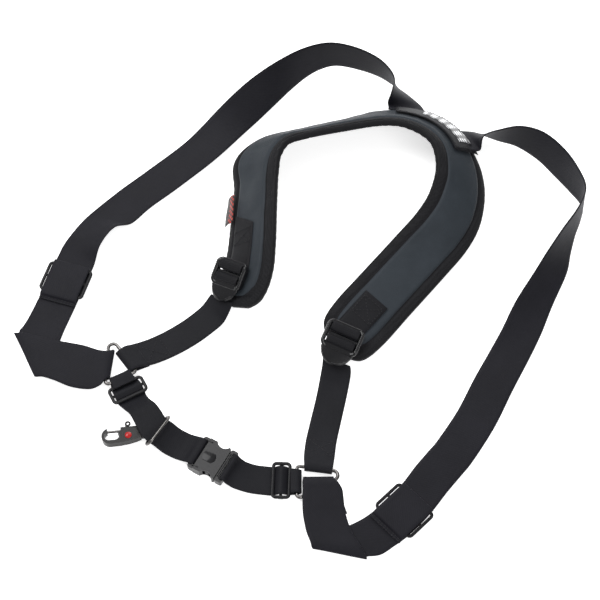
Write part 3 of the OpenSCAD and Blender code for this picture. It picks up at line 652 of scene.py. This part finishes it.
def stitched_box(name, first, last, low, high, cross, place):
    """Rows of stitches round a box, with a cross if asked. place gives a spot's point and normal."""
    corners = [(first, low), (last, low), (last, high), (first, high), (first, low)]
    lines = [corners[i : i + 2] for i in range(4)]
    if cross:
        lines += [[corners[0], corners[2]], [corners[1], corners[3]]]
    rows = []
    for j, (p, q) in enumerate(lines):
        spots = [place(*spot) for spot in along(p, q, np.linspace(0, 1, 9))]
        rows.append(stitches_along(f"{name}_{j}", [a for a, _ in spots], [b for _, b in spots]))
    return rows


def strap_stitching(name, course, start, end, half, side):
    """A stitched box on one side of a strap, between two places in metres along it, crossed if long."""

    def place(s, a):
        x = float(np.interp(s, course.s, np.arange(len(course.s))))
        c, w, n, _, _ = course.at(x)
        return c + a * w + side * n * (WEB_T / 2), side * n

    rows = stitched_box(name, start, end, -half, half, end - start > 0.012, place)
    return join(name, rows, "harness")


STRAP_PER = 12      # rings between two stations of a strap


def make_straps():
    """All the webbing; the side straps start tucked under the back patch."""
    out = {}
    wide = [
        ("side_strap_left", [[0.112, 0.2105, 0.02, -9, 0, 0.96]] + SIDE_LEFT, RETURN_LEFT, 1.0),
        ("side_strap_right", [[0.1695, 0.1725, 0.0195, 123, -8, 0.96]] + SIDE_RIGHT, RETURN_RIGHT, 7.0),
    ]
    for name, route, back, seed in wide:
        obj, course = tape(f"{name}_webbing", route, WIDE_W, WEB_WIDE, "harness", STRAP_PER, 13, seed=seed)
        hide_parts(name)
        over, over_course = tape(
            f"{name}_doubled", back, WIDE_W - MM, WEB_WIDE, "harness", STRAP_PER, 13, seed=seed + 3
        )
        out[name] = course
        out[name + "_back"] = over_course
    narrow = [
        ("front_strap_left", FRONT_LEFT, 11.0),
        ("front_strap_right", FRONT_RIGHT, 13.0),
        ("chest_strap_left", CHEST_LEFT, 17.0),
        ("chest_strap_right", CHEST_RIGHT, 19.0),
    ]
    for name, route, seed in narrow:
        bends = name in ("front_strap_left", "front_strap_right", "chest_strap_right")
        body = None if bends else "harness"
        obj, course = tape(f"{name}_webbing", route, NARROW_W, WEB_NARROW, body, STRAP_PER, 11, seed=seed)
        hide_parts(name)
        if name == "chest_strap_right":
            tuple(course.c[STRAP_PER * 11])
            tuple(course.c[STRAP_PER * 7])
            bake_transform(obj)
        elif bends:
            low = 6 if name.endswith("left") else 5
            tuple(course.c[STRAP_PER * low])
            tuple(course.c[STRAP_PER * 2])
            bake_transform(obj)
        out[name] = course
    return out


def make_strap_stitching(courses):
    """Stitched boxes where the webbing is turned back on itself, between two stations of each route."""
    plan = [
        ("front_strap_left", "front_strap_left", 5.6, 7.2, 0.0125, -1),
        ("front_strap_right", "front_strap_right", 5.1, 6.2, 0.0125, -1),
        ("side_strap_left", "side_strap_left_back", 0.3, 0.9, 0.0175, 1),
        ("side_strap_right", "side_strap_right_back", 0.3, 0.9, 0.0175, 1),
    ]
    for strap, route, first, last, half, side in plan:
        course = courses[route]
        start, end = (course.s[int(station * STRAP_PER)] for station in (first, last))
        obj = strap_stitching(f"{strap}_stitching", course, start, end, half, side)


courses = make_straps()
make_strap_stitching(courses)

# ---------- yoke pad ----------

PAD_PER = 12
BORDER_W = 0.0115       # from the pad's edge to the groove round the face panel
EDGE_T = 0.0024         # half thickness of the pad at its edge
CROWN_T = 0.0052        # half thickness at the middle
GROOVE_W = 0.0016
GROOVE_D = 0.0016
pad = Course(PAD_ROUTE, PAD_PER)
pad_half = pad.spread * PAD_W / 2
pad_end = np.minimum(pad.s, pad.length - pad.s)


def between(values, x):
    """Value at a fractional place x of a list of values."""
    x = min(max(x, 0), len(values) - 1)
    i = min(int(x), len(values) - 2)
    return values[i] + (values[i + 1] - values[i]) * (x - i)


def edge_distance(x, a):
    """How far a spot on the pad is from its nearest edge."""
    return min(between(pad_half, x) - abs(a), between(pad_end, x) + 0.0015)


def pad_height(x, a, ripple=True):
    """Height of the padded face over the pad's middle plane, at place x along it and a across."""
    d = max(edge_distance(x, a), 0)
    s = between(pad.s, x)
    rise = 1 - math.exp(-d / 0.0045)
    top = EDGE_T + (CROWN_T - EDGE_T) * rise
    top += 0.0008 * (1 - (a / max(between(pad_half, x), 1e-4)) ** 2)
    top -= GROOVE_D * math.exp(-(((d - BORDER_W) / GROOVE_W) ** 2))
    if ripple:
        top += 0.0008 * noise.noise(Vector((s * 30, a * 45, 2.0)))
        top += 0.0004 * noise.noise(Vector((s * 90, a * 60, 5.0)))
    return top


def lining_height(i, a):
    """Depth of the lining under the pad's middle plane, quilted in cross channels."""
    d = max(edge_distance(i, a), 0)
    rise = 1 - math.exp(-d / 0.006)
    deep = EDGE_T + (0.0046 - EDGE_T) * rise
    channel = abs(math.sin(math.pi * pad.s[i] / 0.034))
    return deep - 0.0011 * rise * math.exp(-((channel / 0.12) ** 2))


def make_cushion():
    """Closed padded body: border and lining, under the face panel."""
    wide = 33
    verts = []
    for i in range(len(pad.c)):
        half = pad_half[i] - 0.0022
        xs = crowded(half, wide)
        for a in xs:
            verts.append(pad.point(i, a, pad_height(i, a)))
        for a in xs[::-1]:
            verts.append(pad.point(i, a, -lining_height(i, a)))
    obj = make("yoke_cushion", verts, sweep_faces(len(pad.c), 2 * wide), BORDER_MESH, "harness")
    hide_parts("pad_foam", "pad_lining")


def panel_half(i):
    """Half width of the face panel, rounded off towards its ends."""
    inside = pad_end[i] + 0.0015 - BORDER_W
    if inside <= 0:
        return 0.0
    u = min(inside / 0.018, 1)
    return max(pad_half[i] - BORDER_W, 0) * math.sqrt(max(1 - (1 - u) ** 2, 0))


def make_panel():
    """Smooth face panel inside the groove, a thin closed shell with its rim turned down."""
    wide = 29
    rows = [i for i in range(len(pad.c)) if panel_half(i) > 0.002]
    verts, uvs = [], []
    for i in rows:
        half = panel_half(i)
        xs = crowded(half, wide)
        for a in xs:
            rim = math.exp(-(half - abs(a)) / 0.0009)
            verts.append(pad.point(i, a, pad_height(i, a) + 0.0007 - 0.0009 * rim))
            uvs.append((pad.s[i], a))
        for a in xs[::-1]:
            verts.append(pad.point(i, a, pad_height(i, a) - 0.0012))
            uvs.append((pad.s[i], a))
    obj = make("yoke_panel", verts, sweep_faces(len(rows), 2 * wide), FACE_CLOTH, "harness", uvs)
    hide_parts("pad_face")


def pad_outline(inset):
    """Closed line round the pad's edge, drawn in by inset, with its face normals."""
    last = len(pad.c) - 1
    ins = [i for i in range(last + 1) if pad_end[i] >= inset * 0.9]
    left = [(pad.point(i, -(pad_half[i] - inset), 0), pad.n[i]) for i in ins]
    right = [(pad.point(i, pad_half[i] - inset, 0), pad.n[i]) for i in reversed(ins)]

    def across(a, b):
        return [
            (a[0] * (1 - f) + b[0] * f, unit(a[1] * (1 - f) + b[1] * f)) for f in np.linspace(0, 1, 9)[1:-1]
        ]

    loop = left + across(left[-1], right[0]) + right + across(right[-1], left[0])
    pts = np.array([p for p, _ in loop])
    nrm = np.array([n for _, n in loop])
    for _ in range(3):
        pts = (np.roll(pts, 1, 0) + 2 * pts + np.roll(pts, -1, 0)) / 4
        nrm = (np.roll(nrm, 1, 0) + 2 * nrm + np.roll(nrm, -1, 0)) / 4
    nrm /= np.linalg.norm(nrm, axis=1)[:, None]
    return pts, nrm


def make_binding():
    """Tape folded round the pad's edge all the way."""
    pts, nrm = pad_outline(0.0)
    count = len(pts)
    sides = 14
    length = np.concatenate([[0], np.cumsum(np.linalg.norm(np.diff(pts, axis=0), axis=1))])
    verts, uvs = [], []
    for i in range(count):
        t = unit(pts[(i + 1) % count] - pts[i - 1])
        out = unit(np.cross(nrm[i], t))
        pucker = 0.00025 * math.sin(length[i] * 2 * math.pi / 0.0085) + 0.0003 * noise.noise(
            Vector((length[i] * 60, 0, 9))
        )
        for k, (x, z) in enumerate(oblong(0.0028, 0.0034 + pucker, 0.8, 0.7, sides)):
            verts.append(pts[i] + out * (x - 0.0028) + nrm[i] * z)
            uvs.append((length[i], 2 * math.pi * k / sides * 0.003))
    obj = make("yoke_binding", verts, sweep_faces(count, sides, closed=True), BINDING_TAPE, "harness", uvs)
    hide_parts("pad_binding")


def make_pad_stitching():
    """The seam beside the binding, on the face and on the lining."""
    pts, nrm = pad_outline(0.0058)
    rows = [
        stitches_along("seam", pts + nrm * 0.00395, nrm, closed=True),
        stitches_along("seam_under", pts - nrm * 0.0036, -nrm, closed=True),
    ]
    obj = join("yoke_stitching", rows, "harness")


def on_pad(name, first, last, low, high, thick, lift, material, slant=0.0):
    """Flat piece on the padded face, between two stations and two lines across.

    slant carries the low side of its far end that many stations further.
    """
    wide = 13
    rows = int((last - first) * PAD_PER) + 2
    verts, uvs = [], []
    for j in range(rows):
        f = j / (rows - 1)
        top, low_side = [], []
        for a in np.linspace(low, high, wide):
            g = (a - low) / (high - low)
            x = (first + (last + slant * (1 - g) - first) * f) * PAD_PER
            c, w, n, _, _ = pad.at(x)
            h = max(pad_height(x, a, False) + 0.0007, 0.0045) + lift
            rim = math.exp(-min(a - low, high - a) / 0.0006)
            top.append((c + a * w + n * (h + thick - 0.0004 * rim), (between(pad.s, x), a)))
            low_side.append((c + a * w + n * h, (between(pad.s, x), a)))
        for p, uv in top + low_side[::-1]:
            verts.append(p)
            uvs.append(uv)
    return make(name, verts, sweep_faces(rows, 2 * wide), material, "harness", uvs)


def box_stitch_on_pad(name, first, last, low, high, lift, cross=True):
    """Stitched box on a piece that lies on the pad, between two stations and two lines across."""

    def place(x, a):
        c, w, n, _, _ = pad.at(x * PAD_PER)
        return c + a * w + n * (max(pad_height(x * PAD_PER, a, False) + 0.0007, 0.0045) + lift), n

    join(name, stitched_box(name, first, last, low, high, cross, place), "harness")


def make_pad_trim():
    """Tabs at the front ends, and the patch and label at the back."""
    left = on_pad("tab_left_webbing", 3.0, 4.62, -0.0215, 0.0075, 0.0014, 0.0001, WEB_BLACK, 0.42)
    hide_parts("tab_left")
    box_stitch_on_pad("tab_left_stitching", 4.1, 4.5, -0.0185, 0.0055, 0.0017)
    right = on_pad("tab_right_webbing", 19.3, 20.55, -0.0125, 0.0165, 0.0014, 0.0001, WEB_BLACK)
    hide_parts("tab_right")
    box_stitch_on_pad("tab_right_stitching", 19.4, 19.9, -0.0098, 0.0138, 0.0017)
    patch = on_pad("back_patch_cloth", 11.67, 14.33, -0.031, 0.010, 0.0011, 0.0021, WEB_BLACK)
    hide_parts("back_patch")
    box_stitch_on_pad("back_patch_stitching", 11.76, 14.24, -0.0285, 0.008, 0.0034, False)
    label = on_pad("back_label_tape", 12.55, 14.05, -0.0245, -0.003, 0.0005, 0.0034, LABEL)
    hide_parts("back_label")


make_cushion()
make_panel()
make_binding()
make_pad_stitching()
make_pad_trim()


def make_side_tag():
    """Folded woven tag sewn into the left lobe's outer seam."""
    inner_line, fold_line, outer_line = 0.0224, 0.0288, 0.0352
    for name, inner, outer, mat in [
        ("side_tag_dark", fold_line, outer_line, TAG_DARK),
        ("side_tag_red", inner_line, fold_line, TAG_RED),
    ]:
        verts, uvs = [], []
        for j in range(13):
            f = j / 12
            c, w, n, _, _ = pad.at((5.66 - 0.82 * f) * PAD_PER)
            for side, across in ((1, np.linspace(inner, outer, 7)), (-1, np.linspace(outer, inner, 7))):
                for a in across:
                    g = (a - inner_line) / 0.013
                    curl = 0.0005 * math.sin(f * 5 + a * 300)
                    verts.append(c - a * w + n * (0.0098 - 0.003 * g**2 + curl + side * 0.0006))
                    uvs.append((f * 0.028, a))
        obj = make(name, verts, sweep_faces(13, 14), mat, "harness", uvs)
    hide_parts("side_tag")


make_side_tag()

# ---------- fittings: own frames in millimetres, placed as in the CAD model ----------

LOCK_LEFT = ((-0.070, 0.0105, 0.033), 247, 27, 24)
LOCK_RIGHT = ((0.0445, -0.060, 0.0255), 245, 18, -8)
RING_LEFT = ((-0.193, -0.111, 0.0055), 28)
RING_RIGHT = ((-0.003, -0.232, 0.0055), 90)
SIDE_SLIDER_LEFT = ((-0.244, 0.006, 0.0047), 253)
SIDE_SLIDER_RIGHT = ((0.096, -0.248, 0.0047), 224)
CHEST_SLIDER_LEFT = ((-0.1734, -0.1202, 0.0044), -62)
CHEST_SLIDER_RIGHT = ((-0.021, -0.217, 0.0044), -2)
BUCKLE = ((-0.087, -0.197, 0.0052), -29)
LOOP = ((-0.141, -0.168, 0.012), -33, -60)
HOOK = ((-0.1456, -0.1685, 0.0063), 186)
RING_CORNERS = [(0, 0, 3), (26, 0, 3), (19.6, 31.4, 5)]
RING_WIRE = 3.56
LOOP_WIRE = 2.96


def placed(at, turn, pitch=0.0, roll=0.0):
    """Matrix from a fitting's own millimetres to the row frame."""
    spin = (
        Matrix.Rotation(math.radians(turn), 4, "Z")
        @ Matrix.Rotation(math.radians(pitch), 4, "Y")
        @ Matrix.Rotation(math.radians(roll), 4, "X")
    )
    return Matrix.Translation(Vector(at) + Vector(SHIFT)) @ spin @ Matrix.Scale(MM, 4)


def part(name, verts, faces, place, material, bevel=0.0, segments=2):
    """A mesh of a fitting in the row frame, faces outward, edges bevelled in its own millimetres."""
    bm = bmesh.new()
    vs = [bm.verts.new(tuple(map(float, v))) for v in verts]
    for f in faces:
        bm.faces.new([vs[k] for k in f])
    bmesh.ops.remove_doubles(bm, verts=bm.verts, dist=1e-5)
    bmesh.ops.recalc_face_normals(bm, faces=bm.faces)
    if bevel:
        sharp = [e for e in bm.edges if len(e.link_faces) == 2 and e.calc_face_angle() > math.radians(35)]
        bmesh.ops.bevel(
            bm, geom=sharp, offset=bevel, segments=segments, profile=0.5, affect="EDGES", clamp_overlap=True
        )
    bm.transform(place)
    bmesh.ops.recalc_face_normals(bm, faces=bm.faces)
    mesh = bpy.data.meshes.new(name)
    bm.to_mesh(mesh)
    bm.free()
    mesh.polygons.foreach_set("use_smooth", [True] * len(mesh.polygons))
    mesh.materials.append(material)
    return add(name, mesh, None)


def slab(name, outline, z0, z1, place, material, bevel=0.4, segments=2):
    """A plate with this outline between two heights, with eased edges."""
    n = len(outline)
    verts = [(x, y, z0) for x, y in outline] + [(x, y, z1) for x, y in outline]
    faces = [tuple(range(n)), tuple(range(n, 2 * n))]
    faces += [(i, (i + 1) % n, n + (i + 1) % n, n + i) for i in range(n)]
    return part(name, verts, faces, place, material, bevel, segments)


def arc(cx, cy, r, start, stop, count):
    """Points along an arc, from one angle to another in degrees."""
    return [(cx + r * math.cos(a), cy + r * math.sin(a)) for a in np.radians(np.linspace(start, stop, count))]


def rounded_rect(x0, x1, y0, y1, r):
    """Outline of a rectangle with round corners."""
    centres = [(x1 - r, y1 - r), (x0 + r, y1 - r), (x0 + r, y0 + r), (x1 - r, y0 + r)]
    return [p for k, (x, y) in enumerate(centres) for p in arc(x, y, r, 90 * k, 90 * k + 90, 9)]


def loop_bar(name, line, half_w, half_h, place, material, z=0.0, sides=16, power=0.6, closed=True):
    """A bar of round-cornered section bent along a flat line. half_h may be a function of the point."""
    count = len(line)
    verts = []
    for i in range(count):
        p = np.array(line[i])
        ahead = np.array(line[(i + 1) % count] if closed else line[min(i + 1, count - 1)])
        behind = np.array(line[i - 1] if closed else line[max(i - 1, 0)])
        t = (ahead - behind) / max(np.linalg.norm(ahead - behind), 1e-9)
        out = np.array([t[1], -t[0]])
        high = half_h(p) if callable(half_h) else half_h
        for x, h in oblong(half_w, high, power, power, sides):
            verts.append((p[0] + out[0] * x, p[1] + out[1] * x, z + h))
    return part(name, verts, sweep_faces(count, sides, closed=closed), place, material)


def cross_bar(name, x, half_y, half_w, half_h, place, material, z=0.0, power=0.8):
    """A straight bar across the webbing."""
    line = [(x, y) for y in np.linspace(-half_y, half_y, 15)]
    return loop_bar(name, line, half_w, half_h, place, material, z, 16, power, closed=False)


def wrap(name, x, rx, rz, width, place, material):
    """Webbing round a bar: a closed band whose width runs along the bar."""
    laps = 40
    section = tape_section(width / 2, 1.3, 11)
    verts, uvs = [], []
    for i, (px, pz) in enumerate(oblong(rx, rz, 0.75, 0.75, laps)):
        a = 2 * math.pi * i / laps
        n = unit([math.cos(a) / rx, 0, math.sin(a) / rz])
        for y, o in section:
            verts.append(place @ Vector((x + px + n[0] * o, y, pz + n[2] * o)))
            uvs.append((i * 0.0006, y * MM + (0.1 if o < 0 else 0)))
    return make(name, verts, sweep_faces(laps, len(section), closed=True), material, None, uvs)


def ladder_lock(side, where):
    """Ladder lock: high side rails, three bars, a thumb tongue and grip ridges."""
    place = placed(*where)
    rail_y = 17.7
    bits = []

    def rail_height(p):
        return 1.9 + 1.7 * min(max((abs(p[1]) - 13) / 3.5, 0), 1) * (1 if 1.5 < p[0] < 23 else 0.55)

    outline = rounded_rect(-0.1, 25.4, -rail_y, rail_y, 4.5)
    dense = []
    for i, p in enumerate(outline):
        q = outline[(i + 1) % len(outline)]
        steps = max(int(math.dist(p, q) / 1.2), 1)
        dense += along(p, q, np.arange(steps) / steps)
    bits.append(loop_bar("rails", dense, 2.1, rail_height, place, LOCK_PLASTIC))
    bits.append(cross_bar("bar_mid", 12.5, 17, 1.6, 1.7, place, LOCK_PLASTIC))
    bits.append(cross_bar("bar_low", 23.7, 17, 2.6, 1.9, place, LOCK_PLASTIC))
    reach = 42.2
    tongue = [(23, 16.2), (28, 17.0)] + arc(reach - 16.2, 0, 16.2, 62, -62, 25) + [(28, -17.0), (23, -16.2)]
    bits.append(slab("tongue", tongue, -1.5, 1.1, place, LOCK_PLASTIC, 0.9, 3))
    lip = arc(reach - 16.2, 0, 14.6, 58, -58, 25)
    bits.append(loop_bar("lip", lip, 0.9, 1.0, place, LOCK_PLASTIC, 1.2, 12, 0.9, closed=False))
    for k in range(9):
        x = 3.4 + k * 2.05
        for y in (-rail_y, rail_y):
            line = [(x, y - 1.5), (x, y - 0.7), (x, y + 0.7), (x, y + 1.5)]
            bits.append(loop_bar("ridge", line, 0.5, 0.55, place, LOCK_PLASTIC, 3.5, 8, 0.9, closed=False))
    obj = join(f"ladder_lock_{side}_body", bits, f"ladder_lock_{side}")
    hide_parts(f"lock_{side}")
    bands = [
        wrap("tab_loop", 4.9, 4.6, 3.5, 29.4, place, WEB_BLACK),
        wrap("strap_loop", 18.1, 4.3, 3.6, 29.4, place, WEB_BLACK),
    ]
    webs = join(f"ladder_lock_{side}_webbing", bands, f"ladder_lock_{side}")
    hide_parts(f"lock_web_{side}")


def slider(node, where, web, length, drop):
    """Three-bar slider: an oblong frame, and a middle bar that may lie lower, on two steps."""
    place = placed(*where)
    bits = []
    y = web / 2 + 0.7 + 1.75
    x = length / 2 - 1.5
    bits.append(loop_bar("frame", rounded_rect(-x, x, -y, y, 3.2), 1.6, 1.25, place, SLIDER_PLASTIC))
    bits.append(cross_bar("middle", 0, y, 1.5, 1.2, place, SLIDER_PLASTIC, -drop))
    if drop:
        for side in (-1, 1):
            line = [(-2.2, side * y), (-1, side * y), (1, side * y), (2.2, side * y)]
            high = 1.2 + drop / 2
            bits.append(loop_bar("step", line, 1.5, high, place, SLIDER_PLASTIC, -drop / 2, 12, closed=False))
    obj = join(f"{node}_frame", bits, "harness")
    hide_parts(node)


def ring_line():
    """Centre line of the front ring's wire: arcs at three corners, joined by their tangents."""

    def bar_out(a, b):
        """Heading, in degrees, from a corner's centre to where the straight bar to the next begins."""
        v = (b[0] - a[0], b[1] - a[1])
        return math.degrees(math.atan2(v[1], v[0]) + math.asin((a[2] - b[2]) / math.hypot(*v))) - 90

    between_ends = np.linspace(0, 1, 8)[1:-1]
    line = []
    for i in range(3):
        a, b, c = (RING_CORNERS[(i + k) % 3] for k in range(3))
        start = bar_out(a, b)
        sweep = (bar_out(b, c) - start + 720) % 360
        turn = arc(b[0], b[1], b[2], start, start + sweep, 14)
        if line:
            line += along(line[-1], turn[0], between_ends)
        line += turn
    return line + along(line[-1], line[0], between_ends)


def make_rings():
    """The two front rings, one the mirror image of the other."""
    line = ring_line()
    for side, where, flip in (("left", RING_LEFT, 1), ("right", RING_RIGHT, -1)):
        pts = [(x, y * flip) for x, y in line]
        r = RING_WIRE / 2
        obj = loop_bar(f"ring_{side}_wire", pts, r, r, placed(*where), RING_METAL, 0, 20, 1.0)
        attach(obj, "harness")
        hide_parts(f"ring_{side}")


def make_loop():
    """Oval wire loop round the chest strap, which carries the hook."""
    straight, bend = 22, 6.5
    line = arc(0, straight / 2, bend, 0, 180, 20) + arc(0, -straight / 2, bend, 180, 360, 20)
    r = LOOP_WIRE / 2
    obj = loop_bar("hook_loop_wire", line, r, r, placed(*LOOP), RING_METAL, 0, 20, 1.0)
    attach(obj, "loop")
    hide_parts("hook_loop")


def dress(node, material, bevel=0.0):
    """A CAD node that stays: its material, and eased edges."""
    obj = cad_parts[node]
    for k in range(len(obj.material_slots)):
        obj.material_slots[k].material = material
    if bevel:
        mod = obj.modifiers.new("eased_edges", "BEVEL")
        mod.width = bevel
        mod.segments = 2
        mod.limit_method = "ANGLE"
        mod.angle_limit = math.radians(40)


def make_gate_spring():
    """Coil spring behind the gate, inside the hook."""
    turns, per_turn, sides = 5, 16, 8
    start, length, radius, wire = 15.45, 9.0, 1.75, 0.28
    gate_y = -5.8
    verts = []
    for i in range(turns * per_turn + 1):
        a = 2 * math.pi * i / per_turn
        x = start + length * i / (turns * per_turn)
        for j in range(sides):
            b = 2 * math.pi * j / sides
            r = radius + wire * math.cos(b)
            verts.append((x + wire * math.sin(b), gate_y + r * math.cos(a), r * math.sin(a)))
    place = placed(*HOOK)
    obj = part("gate_spring_coil", verts, sweep_faces(turns * per_turn + 1, sides), place, SPRING_STEEL)
    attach(obj, "snap_hook")
    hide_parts("gate_spring")
    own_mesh(obj)


def make_buckle_trim():
    """Grip ribs and a plain raised shield on the buckle."""
    place = placed(*BUCKLE)
    bits = []
    shield = arc(-3.5, 0, 6.5, -55, 55, 13) + arc(-4.5, 0, 6.5, 125, 235, 13)
    bits.append(slab("shield", shield, 4.9, 5.35, place, BUCKLE_PLASTIC, 0.2))
    for y in (-1, 1):
        line = [(x, y * 14.6) for x in np.linspace(-15, -8, 6)]
        bits.append(loop_bar("rim", line, 0.7, 0.5, place, BUCKLE_PLASTIC, 4.9, 10, 0.9, closed=False))
    obj = join("buckle_socket_trim", bits, "harness")
    ribs = [cross_bar("rib", x, 13.5, 0.45, 0.45, place, BUCKLE_PLASTIC, 3.6) for x in (12.7, 14.2)]
    plug = join("buckle_plug_ribs", ribs, "plug")


ladder_lock("left", LOCK_LEFT)
ladder_lock("right", LOCK_RIGHT)
slider("side_slider_left", SIDE_SLIDER_LEFT, 40, 35, 0)
slider("side_slider_right", SIDE_SLIDER_RIGHT, 40, 35, 0)
slider("chest_slider_left", CHEST_SLIDER_LEFT, 30, 19, 1.4)
slider("chest_slider_right", CHEST_SLIDER_RIGHT, 30, 19, 1.4)
make_rings()
make_loop()
dress("buckle_socket", BUCKLE_PLASTIC, 0.0005)
dress("buckle_plug", BUCKLE_PLASTIC, 0.0004)
dress("prong_left", BUCKLE_PLASTIC, 0.0004)
dress("prong_right", BUCKLE_PLASTIC, 0.0004)
dress("hook_body", HOOK_COAT, 0.0005)
dress("gate_lever", HOOK_COAT, 0.0002)
dress("hook_eye", RING_METAL)
dress("hook_gate", RING_METAL)
make_gate_spring()
dress("hook_badge", BADGE)
make_buckle_trim()

# ---------- floor and light ----------


def make_studio():
    """A white floor that glows a little, an even sky and three soft lamps."""
    bpy.ops.mesh.primitive_plane_add(size=6, location=(0, 0, -0.0004))
    floor = bpy.context.object
    floor.name = "floor"
    m = Nodes("floor", (0.9, 0.9, 0.9), 0.7, specular=0.2)
    m.tone(m.noise(m.coords("Object"), 3, 2), 0.985, 1.015)
    m.bsdf.inputs["Emission Color"].default_value = (1, 1, 1, 1)
    m.bsdf.inputs["Emission Strength"].default_value = 0.62
    floor.data.materials.append(m.mat)
    world = bpy.data.worlds.new("studio")
    world.use_nodes = True
    sky = world.node_tree.nodes["Background"]
    sky.inputs["Color"].default_value = (1, 1, 1, 1)
    sky.inputs["Strength"].default_value = 0.5
    bpy.context.scene.world = world
    lights = [
        ("key", (-0.9, 0.5, 1.8), 1.4, 34),
        ("back", (0.3, 1.9, 1.3), 1.5, 26),
        ("front", (0.8, -1.5, 1.6), 1.4, 24),
    ]
    for name, place, size, power in lights:
        data = bpy.data.lights.new(name, "AREA")
        data.shape = "SQUARE"
        data.size = size
        data.energy = power
        lamp = bpy.data.objects.new(name, data)
        lamp.location = place
        lamp.rotation_euler = (-Vector(place)).to_track_quat("-Z", "Y").to_euler()
        bpy.context.collection.objects.link(lamp)


make_studio()
bpy.context.scene.view_settings.view_transform = "Standard"
